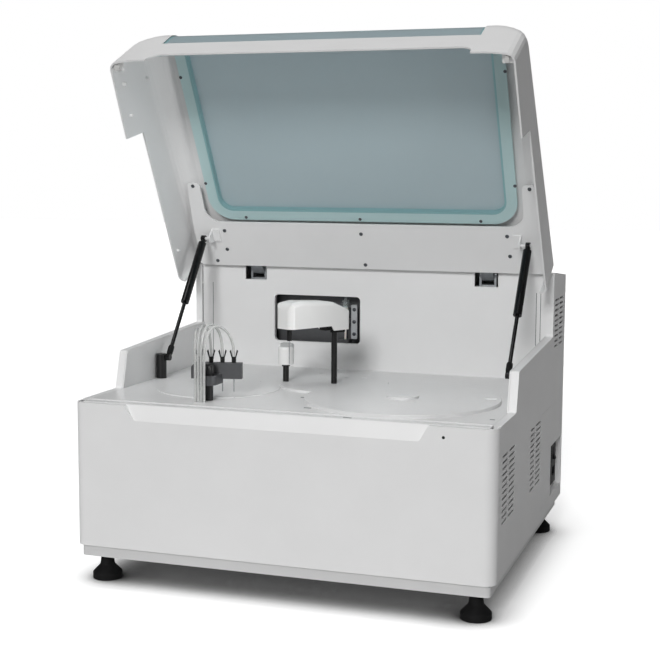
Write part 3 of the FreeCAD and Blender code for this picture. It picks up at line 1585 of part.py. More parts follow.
def well(x, y, radius, floor):
    """Open cup under the deck with a spindle hole in its floor."""
    bottom = floor - skin
    cup = cylinder(x, y, bottom, radius, deck_top - skin - bottom)
    cup = cup.cut(cylinder(x, y, floor, radius - sheet, deck_top))
    return cup.cut(cylinder(x, y, bottom - overrun, spindle_radius + overrun, skin + 2 * overrun))


def disc_wells():
    return [well(sample_x, sample_y, sample_well_radius, sample_well_floor),
            well(reaction_x, reaction_y, reaction_well_radius, reaction_well_floor)]


def sample_disc_cover():
    """Round cover on the deck, bitten by the probe plateau, with a raised hub and a finger dip."""
    top = deck_top + sample_cover_height
    disc = cylinder(sample_x, sample_y, deck_top, sample_cover_radius, sample_cover_height)
    rim = [edge for edge in disc.Edges if edge.BoundBox.ZMin > top - joint_gap]
    disc = disc.makeFillet(sample_cover_edge, rim)
    disc = disc.cut(cylinder(sample_x, sample_y, deck_top - overrun, sample_hole_radius,
                             sample_cover_height - sample_cover_sheet + overrun))
    disc = join(disc, cylinder(sample_x, sample_y, top - sample_cover_sheet, sample_hub_radius,
                               sample_cover_sheet + sample_hub_height))
    bite = plateau_radius + sample_cover_bite
    disc = disc.cut(cylinder(probe_x, probe_y, deck_top - overrun, bite, sample_cover_height + 2 * overrun))
    reach = sample_cover_radius - sample_slit_inset
    dip = prism_z(rectangle(reach - sample_slit_reach, reach, -sample_slit_half, sample_slit_half),
                  top - sample_slit_depth, top + overrun, sample_slit_half / 2)
    return disc.cut(turned(dip, sample_x, sample_y, sample_slit_angle))


def sample_disc():
    """Turntable with a raised rim, a hub and a spindle down into the motor."""
    disc = cylinder(sample_x, sample_y, sample_disc_z, sample_disc_radius, sample_disc_rim)
    disc = disc.cut(cylinder(sample_x, sample_y, sample_disc_z + sample_disc_sheet,
                             sample_disc_radius - sample_disc_sheet, sample_disc_rim))
    hub = cylinder(sample_x, sample_y, sample_disc_z, spindle_hub_radius, spindle_hub_height)
    bottom = sample_well_floor - skin - motor_shaft_depth
    spindle = cylinder(sample_x, sample_y, bottom, spindle_radius, sample_disc_z - bottom)
    return join(disc, hub, spindle)


def reagent_bottles():
    """Wedge bottles standing round the turntable hub."""
    base = sample_disc_z + sample_disc_sheet
    plan = [(bottle_inner, -bottle_inner_half), (bottle_outer, -bottle_outer_half),
            (bottle_outer, bottle_outer_half), (bottle_inner, bottle_inner_half)]
    body = prism_z(plan, base, base + bottle_height, bottle_corner)
    neck = cylinder(bottle_neck_at, 0, base + bottle_height, bottle_neck_radius, bottle_neck_height)
    bottle = join(body, neck)
    return [turned(bottle, sample_x, sample_y, 360 * i / bottle_count) for i in range(bottle_count)]


def reaction_disc():
    disc = cylinder(reaction_x, reaction_y, reaction_disc_z, reaction_disc_radius, reaction_disc_sheet)
    bottom = reaction_well_floor - skin - motor_shaft_depth
    spindle = cylinder(reaction_x, reaction_y, bottom, spindle_radius, reaction_disc_z - bottom)
    pockets = []
    side = cuvette_side / 2 + running
    for i in range(cuvette_count):
        pocket = box(cuvette_ring - side, cuvette_ring + side, -side, side,
                     reaction_disc_z + reaction_disc_sheet - cuvette_sink,
                     reaction_disc_z + reaction_disc_sheet + overrun)
        pockets.append(turned(pocket, reaction_x, reaction_y, 360 * i / cuvette_count))
    return join(disc, spindle).cut(Part.makeCompound(pockets))


def cuvettes():
    """Open glass cells standing in the pockets of the reaction disc."""
    side = cuvette_side / 2
    bottom = reaction_disc_z + reaction_disc_sheet - cuvette_sink
    cell = box(cuvette_ring - side, cuvette_ring + side, -side, side, bottom, bottom + cuvette_height)
    room = side - cuvette_wall
    cell = cell.cut(box(cuvette_ring - room, cuvette_ring + room, -room, room, bottom + cuvette_wall,
                        bottom + cuvette_height + overrun))
    return [turned(cell, reaction_x, reaction_y, 360 * i / cuvette_count) for i in range(cuvette_count)]


def disc_motor(x, y, floor):
    """Square motor under a well, with the bore of the disc spindle."""
    top = floor - skin
    side = motor_side / 2
    body = prism_z(rectangle(x - side, x + side, y - side, y + side), top - motor_height, top, motor_corner)
    return body.cut(cylinder(x, y, top - motor_shaft_depth - joint_gap, spindle_radius + running,
                             motor_shaft_depth + overrun))


def disc_motors():
    return [disc_motor(sample_x, sample_y, sample_well_floor),
            disc_motor(reaction_x, reaction_y, reaction_well_floor)]


# Fittings inside the housing

def photometer():
    """Optics box on a pedestal behind the reaction well, with its lens tube."""
    rear = photometer_front + photometer_depth
    body = box(reaction_x - photometer_half, reaction_x + photometer_half, photometer_front, rear,
               photometer_z, photometer_z + photometer_height)
    leg = box(reaction_x - photometer_half, reaction_x + photometer_half, rear - photometer_leg, rear,
              tray_floor, photometer_z)
    foot_plate = box(reaction_x - photometer_half, reaction_x + photometer_half, photometer_front, rear,
                     tray_floor, tray_floor + skin)
    lens = cylinder(reaction_x, photometer_front - sheet, photometer_z + photometer_height / 2,
                    photometer_lens, sheet, backward)
    return join(body, leg, foot_plate, lens)


def main_board():
    """Circuit board on four pillars, with its processor, connectors and a heat sink."""
    rear = board_front + board_width
    right = board_left + board_length
    low = tray_floor + board_standoff
    high = low + board_sheet
    parts = [box(board_left, right, board_front, rear, low, high)]
    for x in (board_left + board_inset, right - board_inset):
        for y in (board_front + board_inset, rear - board_inset):
            parts.append(cylinder(x, y, tray_floor, board_pillar, board_standoff))
    parts.append(box(board_left + 3 * board_inset, board_left + 6 * board_inset, board_front + 3 * board_inset,
                     board_front + 6 * board_inset, high, high + sheet))
    parts.append(box(right - 2 * board_inset, right - board_inset, board_front + 2 * board_inset,
                     rear - 2 * board_inset, high, high + board_inset))
    for i in range(4):
        x = board_left + (9 + i) * board_inset
        parts.append(box(x, x + sheet, rear - 6 * board_inset, rear - 2 * board_inset, high,
                         high + 2 * board_inset))
    return join(*parts)


def power_supply():
    """Closed supply case with a row of cooling slots in its top."""
    right, rear = supply_left + supply_length, supply_front + supply_width
    top = tray_floor + supply_height
    case = box(supply_left, right, supply_front, rear, tray_floor, top)
    slots = []
    for i in range(supply_vents):
        x = supply_left + (i + 1) * supply_vent_pitch
        slots.append(box(x, x + sheet, supply_front + 2 * supply_vent_pitch, rear - 2 * supply_vent_pitch,
                         top - sheet, top + overrun))
    return case.cut(Part.makeCompound(slots))


def fan_frame():
    """Square fan frame on the rear panel; four arms carry the bearing behind the rotor."""
    front = depth - skin - fan_thickness
    side = fan_side / 2
    corners = rectangle(fan_x - side, fan_x + side, fan_z - side, fan_z + side)
    frame = prism_y(corners, front, front + fan_thickness, fan_corner)
    frame = frame.cut(cylinder(fan_x, front - overrun, fan_z, fan_bore, fan_thickness + 2 * overrun, backward))
    hub = cylinder(fan_x, front, fan_z, fan_hub, skin, backward)
    reach = fan_bore + overrun
    arms = [box(fan_x - reach, fan_x + reach, front, front + skin, fan_z - fan_arm / 2, fan_z + fan_arm / 2),
            box(fan_x - fan_arm / 2, fan_x + fan_arm / 2, front, front + skin, fan_z - reach, fan_z + reach)]
    frame = join(frame, hub, *arms)
    return frame.cut(cylinder(fan_x, front - overrun, fan_z, fan_pin + running, skin + 2 * overrun, backward))


def fan_rotor():
    """Hub with pitched blades and its shaft pin in the frame's bearing."""
    front = depth - skin - fan_thickness + skin + joint_gap
    rear = depth - skin - fan_blade_clear
    hub = cylinder(fan_x, front, fan_z, fan_hub, rear - front, backward)
    pin = cylinder(fan_x, front - skin, fan_z, fan_pin, skin + overrun, backward)
    length = (rear - front - fan_blade_clear) / math.cos(math.radians(fan_blade_pitch))
    middle = (front + rear) / 2
    tip = fan_bore - fan_blade_clear
    blades = []
    for i in range(fan_blades):
        blade = box(-fan_blade_sheet / 2, fan_blade_sheet / 2, -length / 2, length / 2, fan_hub - overrun, tip)
        blade.rotate(point(0, 0, 0), vertical, fan_blade_pitch)
        blade.rotate(point(0, 0, 0), backward, 360 * i / fan_blades)
        blade.translate(point(fan_x, middle, fan_z))
        blades.append(blade)
    room = cylinder(fan_x, front, fan_z, tip, rear - front, backward)
    return join(hub, pin, *[blade.common(room) for blade in blades])


def syringe_mount():
    """Plate hung from the hinge beam with the clips of the barrel and the drive housing."""
    plate_front = rear_post_y + tube / 2
    x0, x1 = rear_window_left - syringe_plate_margin, rear_window_right + syringe_plate_margin
    plate = box(x0, x1, plate_front, plate_front + skin, syringe_plate_bottom, hinge_beam_top)
    wide = syringe_barrel_radius + skin
    clips = []
    for z in (syringe_bottom + syringe_clip, syringe_top - 2 * syringe_clip):
        clips.append(box(syringe_x - wide, syringe_x + wide, syringe_y, plate_front, z, z + syringe_clip))
    drive = box(syringe_x - wide, syringe_x + wide, syringe_y - wide, plate_front, syringe_plate_bottom,
                syringe_plate_bottom + syringe_drive)
    mount = join(plate, drive, *clips)
    mount = mount.cut(cylinder(syringe_x, syringe_y, syringe_bottom, syringe_barrel_radius + running,
                               syringe_top - syringe_bottom))
    return mount.cut(cylinder(syringe_x, syringe_y, syringe_plate_bottom + skin, plunger_rod + running,
                              syringe_drive))


def syringe_barrel():
    barrel = cylinder(syringe_x, syringe_y, syringe_bottom, syringe_barrel_radius,
                      syringe_top - syringe_bottom)
    barrel = barrel.cut(cylinder(syringe_x, syringe_y, syringe_bottom - overrun, syringe_bore,
                                 syringe_top - syringe_bottom - skin))
    nipple = cylinder(syringe_x, syringe_y, syringe_top, syringe_nipple, syringe_clip)
    bore = cylinder(syringe_x, syringe_y, syringe_top - 2 * skin, needle_radius, syringe_clip + 3 * skin)
    return join(barrel, nipple).cut(bore)


def syringe_plunger():
    """Piston in the barrel on a rod that runs down into the drive."""
    head_z = syringe_bottom + plunger_start + plunger_drop
    head = cylinder(syringe_x, syringe_y, head_z, syringe_bore - running, plunger_head)
    rod_bottom = syringe_plate_bottom + syringe_drive - plunger_foot + plunger_drop / 2
    rod = cylinder(syringe_x, syringe_y, rod_bottom - plunger_drop / 2, plunger_rod, head_z - rod_bottom
                   + plunger_drop / 2)
    return join(head, rod)


def build():
    for name, (x, y) in foot_places().items():
        save(name, *foot(x, y))
    save("base_tray", base_tray())
    save("chassis_frame", chassis_frame())
    save("front_cover", front_cover())
    save("status_led", status_led())
    save("left_side_panel", mirrored(side_panel()))
    save("right_side_panel", right_side_panel())
    save("access_panel", access_panel())
    save("power_module", power_module())
    save("rocker_switch", rocker_switch())
    save("deck_panel", deck_panel())
    save("rear_wall", rear_wall())
    save("rear_top_cover", rear_top_cover())
    save("rear_panel", rear_panel())
    save("hinge_brackets", *hinge_brackets())
    save("hinge_pins", *hinge_pins())
    save("strut_posts", *strut_posts())
    save("lid_shell", lid_pose(lid_shell()))
    save("lid_window", lid_pose(lid_window()))
    save("lid_inner_frame", lid_pose(lid_inner_frame()))
    save("lid_bumpers", *[lid_pose(shape) for shape in lid_bumpers()])
    save("hinge_arms", *[lid_pose(shape) for shape in hinge_arms()])
    save("strut_brackets", *[lid_pose(shape) for shape in strut_brackets()])
    for name, side in (("right", 1), ("left", -1)):
        save("strut_rod_" + name, strut_place(strut_rod(), side))
        save("strut_cylinder_" + name, strut_place(strut_cylinder(), side))
    save("arm_towers", *arm_towers())
    save("probe_carriage", carriage(probe_x, probe_y, probe_column_radius))
    save("probe_column", column(probe_x, probe_y, probe_column_radius, probe_column_top))
    save("probe_arm_base", probe_arm_base())
    save("probe_arm_cover", probe_arm_cover())
    save("probe_needle", probe_needle())
    save("mixer_carriage", carriage(mixer_x, mixer_y, mixer_column_radius))
    save("mixer_column", mixer_column())
    save("mixer_head", mixer_head())
    save("mixer_paddle", mixer_paddle())
    save("wash_column", wash_column())
    save("wash_block", wash_block())
    save("wash_nozzles", *wash_nozzles())
    save("wash_needles", *wash_needles())
    save("wash_hoses", *wash_hoses())
    save("disc_wells", *disc_wells())
    save("sample_disc_cover", sample_disc_cover())
    save("sample_disc", sample_disc())
    save("reagent_bottles", *reagent_bottles())
    save("reaction_disc", reaction_disc())
    save("cuvettes", *cuvettes())
    save("disc_motors", *disc_motors())
    save("photometer", photometer())
    save("main_board", main_board())
    save("power_supply", power_supply())
    save("fan_frame", fan_frame())
    save("fan_rotor", fan_rotor())
    save("syringe_mount", syringe_mount())
    save("syringe_barrel", syringe_barrel())
    save("syringe_plunger", syringe_plunger())


os.makedirs("parts", exist_ok=True)
build()
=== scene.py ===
import math

import bmesh
import bpy
import numpy as np
from mathutils import Matrix, Vector


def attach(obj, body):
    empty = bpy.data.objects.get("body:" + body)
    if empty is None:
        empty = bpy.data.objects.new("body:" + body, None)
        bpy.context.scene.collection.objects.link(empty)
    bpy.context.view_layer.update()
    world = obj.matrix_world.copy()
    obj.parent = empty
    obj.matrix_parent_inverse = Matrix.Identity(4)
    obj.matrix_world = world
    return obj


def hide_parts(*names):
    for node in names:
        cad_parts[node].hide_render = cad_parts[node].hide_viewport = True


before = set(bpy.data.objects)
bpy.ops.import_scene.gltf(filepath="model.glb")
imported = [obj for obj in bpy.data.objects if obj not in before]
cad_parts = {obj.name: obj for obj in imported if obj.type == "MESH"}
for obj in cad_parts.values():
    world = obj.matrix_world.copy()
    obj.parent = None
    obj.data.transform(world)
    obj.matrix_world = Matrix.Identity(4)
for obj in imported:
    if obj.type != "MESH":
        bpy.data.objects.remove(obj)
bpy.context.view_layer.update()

MM = 0.001
front_face = -0.320

# ---------------------------------------------------------------- colours, nodes and meshes


def linear(code):
    """sRGB hex code to linear red, green, blue and a full alpha."""
    parts = [int(code[i:i + 2], 16) / 255 for i in (1, 3, 5)]
    return [p / 12.92 if p <= 0.04045 else ((p + 0.055) / 1.055) ** 2.4 for p in parts] + [1.0]


def put(tree, kind, inputs=None, **settings):
    """Adds one node; an input is a plain value or the output that feeds it."""
    node = tree.nodes.new(kind)
    for name, value in settings.items():
        setattr(node, name, value)
    for name, value in (inputs or {}).items():
        if isinstance(value, bpy.types.NodeSocket):
            tree.links.new(value, node.inputs[name])
        else:
            node.inputs[name].default_value = value
    return node


def finish_of(name, pale, deep, rough, grain, lift, metallic=0.0, cloud=60, draw=(1, 1, 1), **extra):
    """A surface whose colour drifts between two close tones over clouds of `cloud` mm, with a grain
    of `grain` mm that stands `lift` mm high and also moves the roughness between its two values.
    draw stretches the grain along an axis, as brushing or extruding does."""
    mat = bpy.data.materials.new(name)
    mat.use_nodes = True
    tree = mat.node_tree
    shader = tree.nodes["Principled BSDF"]
    place = put(tree, "ShaderNodeTexCoord").outputs["Object"]
    drift = put(tree, "ShaderNodeTexNoise", {"Vector": place, "Scale": 1000 / cloud, "Detail": 3.0})
    tone = put(tree, "ShaderNodeMix", {"Factor": drift.outputs["Fac"], "A": linear(pale), "B": linear(deep)},
               data_type="RGBA")
    along = put(tree, "ShaderNodeMapping", {"Vector": place, "Scale": draw})
    speck = put(tree, "ShaderNodeTexNoise", {"Vector": along.outputs["Vector"], "Scale": 1000 / grain,
                                             "Detail": 2.0, "Roughness": 0.6})
    sheen = put(tree, "ShaderNodeMapRange", {"Value": speck.outputs["Fac"], "From Min": 0.25,
                                             "From Max": 0.75, "To Min": rough[0], "To Max": rough[1]})
    relief = put(tree, "ShaderNodeBump", {"Strength": 1.0, "Distance": lift * MM,
                                          "Height": speck.outputs["Fac"]})
    tree.links.new([o for o in tone.outputs if o.type == "RGBA"][0], shader.inputs["Base Color"])
    tree.links.new(sheen.outputs["Result"], shader.inputs["Roughness"])
    tree.links.new(relief.outputs["Normal"], shader.inputs["Normal"])
    shader.inputs["Metallic"].default_value = metallic
    for key, value in extra.items():
        shader.inputs[key.replace("_", " ")].default_value = value
    return mat


def shown(name, points, faces, material, body, smooth=True):
    """Puts worked-out points and faces (metres, row frame) into one piece that rides on a body."""
    mesh = bpy.data.meshes.new(name)
    mesh.from_pydata(np.asarray(points, float).reshape(-1, 3).tolist(), [], np.asarray(faces).tolist())
    mesh.materials.append(material)
    mesh.polygons.foreach_set("use_smooth", [smooth] * len(mesh.polygons))
    obj = bpy.data.objects.new(name, mesh)
    bpy.context.scene.collection.objects.link(obj)
    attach(obj, body)
    return obj


def quads(rows, columns):
    """Four-cornered faces of a grid numbered row by row, whose rows close round on themselves."""
    r, c = np.meshgrid(np.arange(rows - 1), np.arange(columns), indexing="ij")
    r2, c2 = r + 1, (c + 1) % columns
    corners = [r * columns + c, r * columns + c2, r2 * columns + c2, r2 * columns + c]
    return np.stack(corners, -1).reshape(-1, 4)


def part_point(x, y, z):
    """Millimetres with Y measured back from the front face, to metres in the row frame."""
    return np.stack(np.broadcast_arrays(np.asarray(x) * MM, np.asarray(y) * MM + front_face,
                                        np.asarray(z) * MM), -1).astype(float)


LID_OPEN = math.radians(62.9)
HINGE = np.array([0.0, 526.8 * MM + front_face, 499.8 * MM])


def lid_opened(points):
    """Points drawn on the closed lid, turned up about the hinge line to the open pose."""
    p = np.asarray(points, float) - HINGE
    c, s = math.cos(LID_OPEN), math.sin(LID_OPEN)
    return np.stack([p[..., 0], p[..., 1] * c + p[..., 2] * s, -p[..., 1] * s + p[..., 2] * c], -1) + HINGE


def direction_opened(way):
    """A direction drawn on the closed lid, turned like the lid but not moved."""
    return lid_opened(HINGE + np.asarray(way, float)) - HINGE


# ---------------------------------------------------------------- camera and light

scene = bpy.context.scene
scene.view_settings.view_transform = "Standard"
camera = bpy.data.objects.new("camera", bpy.data.cameras.new("camera"))
scene.collection.objects.link(camera)
scene.camera = camera
yaw, pitch, roll = (math.radians(a) for a in (18.6, -6.8, 0.3))
camera_place = (0.7488, -2.2674, 0.6961)
sensor_width, picture_px, focal_px = 36, 660, 1331.5
ahead = Vector((-math.sin(yaw) * math.cos(pitch), math.cos(yaw) * math.cos(pitch), math.sin(pitch)))
right = Vector((math.cos(yaw), math.sin(yaw), 0))
up = right.cross(ahead)
turned_right = right * math.cos(roll) + up * math.sin(roll)
turned_up = up * math.cos(roll) - right * math.sin(roll)
turn = Matrix((turned_right, turned_up, -ahead)).transposed()
camera.matrix_world = Matrix.Translation(camera_place) @ turn.to_4x4()
camera.data.sensor_width = sensor_width
camera.data.lens = sensor_width * focal_px / picture_px
camera.data.clip_start, camera.data.clip_end = 0.05, 60

world = bpy.data.worlds.new("studio")
scene.world = world
world.use_nodes = True
air = world.node_tree
room_light, seen_white = 0.135, 1.0
seen = put(air, "ShaderNodeLightPath")
direct = put(air, "ShaderNodeMath", {0: seen.outputs["Is Camera Ray"],
                                      1: seen.outputs["Is Transmission Ray"]}, operation="MAXIMUM")
dim = put(air, "ShaderNodeBackground", {"Color": linear("#ffffff"), "Strength": room_light})
bright = put(air, "ShaderNodeBackground", {"Color": linear("#ffffff"), "Strength": seen_white})
choice = put(air, "ShaderNodeMixShader", {0: direct.outputs[0], 1: dim.outputs[0], 2: bright.outputs[0]})
air.links.new(choice.outputs[0], air.nodes["World Output"].inputs["Surface"])


def lamp(name, kind, place, way, power, **settings):
    """A lamp at place whose light comes from the direction way, both in the row frame."""
    light = bpy.data.lights.new(name, kind)
    light.energy = power
    for key, value in settings.items():
        setattr(light, key, value)
    obj = bpy.data.objects.new(name, light)
    scene.collection.objects.link(obj)
    turned_to = Vector(way).to_track_quat("Z", "Y").to_matrix().to_4x4()
    obj.matrix_world = Matrix.Translation(place) @ turned_to
    obj.visible_camera = False


# Even light from the front and from above; two small cards light the walls inside lid and work area.
card_spread = math.radians(76)
lamp("key_front", "SUN", (0, 0, 0), (0.05, -0.90, 0.42), 1.54, angle=math.radians(16))
lamp("top_soft", "SUN", (0, 0, 0), (-0.12, -0.28, 0.93), 1.02, angle=math.radians(34))
lamp("inner_card", "AREA", (0.33, -0.15, 0.70), (1, 0, 0), 0.24, size=0.24, spread=card_spread)
lamp("liner_card", "AREA", (0.33, -0.25, 0.43), (0.69, 0, 0.02), 0.10, size=0.12, spread=card_spread)

# ---------------------------------------------------------------- finishes

# Moulded ABS, painted satin white: the eye sees an even, neutral white whose sheen is broken by
# a fine grain. The real grain is about 0.2 mm and too fine for the render, so it is drawn at 0.9 mm.
painted_abs = finish_of("moulded_abs_satin_white", "#ededed", "#e6e6e6", (0.36, 0.48), 0.9, 0.012, cloud=90,
                        IOR=1.5)
# The deck is vacuum formed: the same white with softer clouds and a smoother sheen.
formed_abs = finish_of("vacuum_formed_abs_white", "#e6e6e6", "#dedede", (0.26, 0.38), 1.2, 0.016, cloud=70,
                       IOR=1.5)
# Powder coat on sheet steel has an orange peel about 1 to 2 mm across.
powder_coat = finish_of("powder_coated_steel_white", "#dedede", "#d4d4d4", (0.3, 0.5), 1.6, 0.03, cloud=120,
                        IOR=1.5)
# Zinc plated tube and sheet: a grey metal with cloudy spangle a few millimetres across.
zinc_plate = finish_of("zinc_plated_steel", "#b4b7ba", "#8e9296", (0.35, 0.6), 3.5, 0.01, metallic=1.0,
                       cloud=14)
# Glossy moulded covers of the arms.
glossy_abs = finish_of("polished_abs_white", "#f0f0ef", "#e9e9e8", (0.2, 0.28), 1.0, 0.004, cloud=60,
                       IOR=1.5)
# Glass filled nylon, moulded black: grey-black with a dull speckled sheen.
black_nylon = finish_of("moulded_nylon_black", "#0c0c0d", "#080809", (0.42, 0.62), 0.8, 0.02, cloud=20,
                        IOR=1.53, Specular_IOR_Level=0.3)
# Black anodised aluminium, turned: fine rings round the axis and a tight highlight.
black_anodised = finish_of("turned_aluminium_black_anodised", "#0d0d0e", "#09090a", (0.26, 0.42), 0.8, 0.01,
                           cloud=15, draw=(1, 1, 6), IOR=1.6, Specular_IOR_Level=0.35)
# Black enamel on the rods and cylinders of the gas struts is smooth and glossy.
strut_enamel = finish_of("enamelled_steel_black", "#0a0a0b", "#070708", (0.16, 0.26), 1.5, 0.006, cloud=25,
                         IOR=1.5, Specular_IOR_Level=0.35)
# Grey anodised block, milled: faint parallel tool lines.
grey_anodised = finish_of("milled_aluminium_grey_anodised", "#5e5f61", "#525355", (0.35, 0.5), 0.7, 0.012,
                          metallic=0.5, cloud=18, draw=(0.15, 1, 1))
# Bare stainless, brushed: streaks 0.3 mm wide drawn along its length.
brushed_stainless = finish_of("brushed_stainless_steel", "#c9cacc", "#b3b5b8", (0.22, 0.38), 0.5, 0.006,
                              metallic=1.0, cloud=20, draw=(1, 1, 0.08))
# Machined aluminium, clear anodised: pale, soft metal.
clear_anodised = finish_of("machined_aluminium", "#d0d2d4", "#bfc2c5", (0.3, 0.46), 0.8, 0.01, metallic=1.0,
                           cloud=22, draw=(0.2, 1, 1))
# Moulded rubber: nearly black, dull, with a fine skin texture.
moulded_rubber = finish_of("moulded_rubber_black", "#080809", "#060607", (0.7, 0.85), 0.9, 0.03, cloud=16,
                           IOR=1.52, Specular_IOR_Level=0.3)
# Thermoplastic rubber of the lid stops, moulded in a pale grey.
pale_rubber = finish_of("moulded_rubber_pale_grey", "#dcdcda", "#d0d0ce", (0.5, 0.7), 0.9, 0.03, cloud=16,
                        IOR=1.51)
# Natural polyethylene of bottles and plungers: milky, light passes a little way in.
polyethylene = finish_of("blow_moulded_polyethylene", "#eceae2", "#e2e0d6", (0.3, 0.42), 1.2, 0.01, cloud=30,
                         IOR=1.51, Subsurface_Weight=0.3, Subsurface_Scale=0.004)
# Solder resist over copper: green with the traces just showing.
solder_resist = finish_of("solder_resist_green", "#1f6b3d", "#175632", (0.25, 0.4), 2.2, 0.02, cloud=6,
                          IOR=1.5)
# Window of thermoformed tinted polycarbonate: light passes, and the inner face has a fine haze.
tinted_polycarbonate = finish_of("tinted_polycarbonate", "#bdced3", "#b6c8ce", (0.28, 0.36), 1.4, 0.006,
                                 cloud=160, IOR=1.585, Transmission_Weight=0.35)


def window_painted_light_and_shade(mat):
    """Round the sunk pane a deeper teal is painted on its side wall as painted shade, and a paler teal on the
    seating flange as painted light. On the closed lid, with q = max(|x| - 253.5 mm, 0) and r = max(y - 355
    mm, 0), the tone follows the distance sqrt(q*q + r*r), which is 28 mm at the window's rounded edge."""
    flat_half, flat_rear = 253.5 * MM, 355.0 * MM + front_face
    wall_from, wall_to, rim_from, rim_to = 23.5 * MM, 25.0 * MM, 27.8 * MM, 28.6 * MM
    tree = mat.node_tree
    shader = tree.nodes["Principled BSDF"]
    pane = shader.inputs["Base Color"].links[0].from_socket
    place = put(tree, "ShaderNodeTexCoord").outputs["Object"]
    c, s = math.cos(LID_OPEN), math.sin(LID_OPEN)
    y, z = HINGE[1], HINGE[2]
    back = put(tree, "ShaderNodeMapping", {"Vector": place, "Rotation": (LID_OPEN, 0, 0),
                                           "Location": (0, y - (c * y - s * z), z - (s * y + c * z))})
    axes = put(tree, "ShaderNodeSeparateXYZ", {0: back.outputs["Vector"]})
    side = put(tree, "ShaderNodeMath", {0: axes.outputs["X"]}, operation="ABSOLUTE")
    q = put(tree, "ShaderNodeMath", {0: side.outputs[0], 1: flat_half}, operation="SUBTRACT")
    q = put(tree, "ShaderNodeMath", {0: q.outputs[0], 1: 0.0}, operation="MAXIMUM")
    r = put(tree, "ShaderNodeMath", {0: axes.outputs["Y"], 1: flat_rear}, operation="SUBTRACT")
    r = put(tree, "ShaderNodeMath", {0: r.outputs[0], 1: 0.0}, operation="MAXIMUM")
    both = put(tree, "ShaderNodeCombineXYZ", {"X": q.outputs[0], "Y": r.outputs[0]})
    past = put(tree, "ShaderNodeVectorMath", {0: both.outputs[0]}, operation="LENGTH")
    wall = put(tree, "ShaderNodeMapRange", {"Value": past.outputs["Value"], "From Min": wall_from,
                                            "From Max": wall_to})
    rim = put(tree, "ShaderNodeMapRange", {"Value": past.outputs["Value"], "From Min": rim_from,
                                           "From Max": rim_to})
    tone = pane
    # The side wall's deeper teal is painted shade and the flange's paler teal is painted light.
    for share, colour in ((wall, "#93c6ca"), (rim, "#d2eeef")):
        step = put(tree, "ShaderNodeMix", {"Factor": share.outputs["Result"], "A": tone, "B": linear(colour)},
                   data_type="RGBA")
        tone = [o for o in step.outputs if o.type == "RGBA"][0]
    tree.links.new(tone, shader.inputs["Base Color"])


window_painted_light_and_shade(tinted_polycarbonate)
# Silicone tube, extruded: milky clear with long faint drawing lines.
silicone_tube = finish_of("extruded_silicone", "#e6e7e6", "#dcdddc", (0.18, 0.3), 0.9, 0.006, cloud=12,
                          IOR=1.41, Transmission_Weight=0.45)
# Borosilicate glass, drawn.
drawn_glass = finish_of("drawn_borosilicate_glass", "#f6fafa", "#eef5f5", (0.03, 0.06), 2.0, 0.002, cloud=40,
                        IOR=1.47, Transmission_Weight=0.9)
# Zinc plated screws with a dark chromate.
dark_zinc = finish_of("chromated_steel_screws", "#6f7276", "#5a5d61", (0.3, 0.5), 0.6, 0.006, metallic=1.0,
                      cloud=6)
# Dark grey painted shade laid flush on the surfaces: slot holes in the deck, seams and the tray gap.
painted_shade_grey = finish_of("painted_shade_dark_grey", "#55585b", "#4a4d50", (0.4, 0.6), 0.8, 0.01, cloud=10,
                       IOR=1.5)
# Black sheets behind the louvres: painted shade for the dark inside of the housing, with a dull fine grain.
vent_painted_shade = finish_of("vent_painted_shade_black", "#0a0a0a", "#050505", (0.85, 1.0), 1.5, 0.2, cloud=8,
                        IOR=1.45, Specular_IOR_Level=0.2)
# Light grey foil of bare label plates.
bare_foil = finish_of("satin_polyester_foil", "#dfe1e1", "#d5d8d9", (0.3, 0.4), 1.0, 0.004, cloud=20,
                      IOR=1.57)
# Smoked lens of the unlit status lamp.
smoked_lens = finish_of("smoked_acrylic", "#24302a", "#1a241f", (0.08, 0.14), 1.0, 0.002, cloud=4,
                        IOR=1.49, Transmission_Weight=0.25)

finish_for = {
    painted_abs: "front_cover left_side_panel right_side_panel access_panel rear_wall rear_top_cover "
                 "lid_shell lid_inner_frame strut_brackets",
    formed_abs: "deck_panel sample_disc_cover",
    powder_coat: "base_tray rear_panel",
    zinc_plate: "chassis_frame power_supply hinge_brackets hinge_arms",
    glossy_abs: "probe_arm_cover mixer_head",
    black_nylon: "power_module rocker_switch probe_arm_base wash_nozzles fan_frame fan_rotor photometer "
                 "disc_motors",
    black_anodised: "probe_column mixer_column wash_column strut_posts",
    strut_enamel: "strut_cylinder_left strut_cylinder_right strut_rod_left strut_rod_right",
    grey_anodised: "wash_block syringe_mount",
    brushed_stainless: "hinge_pins probe_needle wash_needles mixer_paddle",
    clear_anodised: "arm_towers probe_carriage mixer_carriage disc_wells sample_disc reaction_disc",
    moulded_rubber: "foot_front_left foot_front_right foot_rear_left foot_rear_right",
    pale_rubber: "lid_bumpers",
    polyethylene: "reagent_bottles syringe_plunger",
    solder_resist: "main_board",
    tinted_polycarbonate: "lid_window",
    drawn_glass: "cuvettes syringe_barrel",
    silicone_tube: "wash_hoses",
    smoked_lens: "status_led",
}
for finish, names in finish_for.items():
    for name in names.split():
        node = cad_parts[name]
        if not node.material_slots:
            node.data.materials.append(finish)
        for held in node.material_slots:
            held.material = finish

# ---------------------------------------------------------------- floor

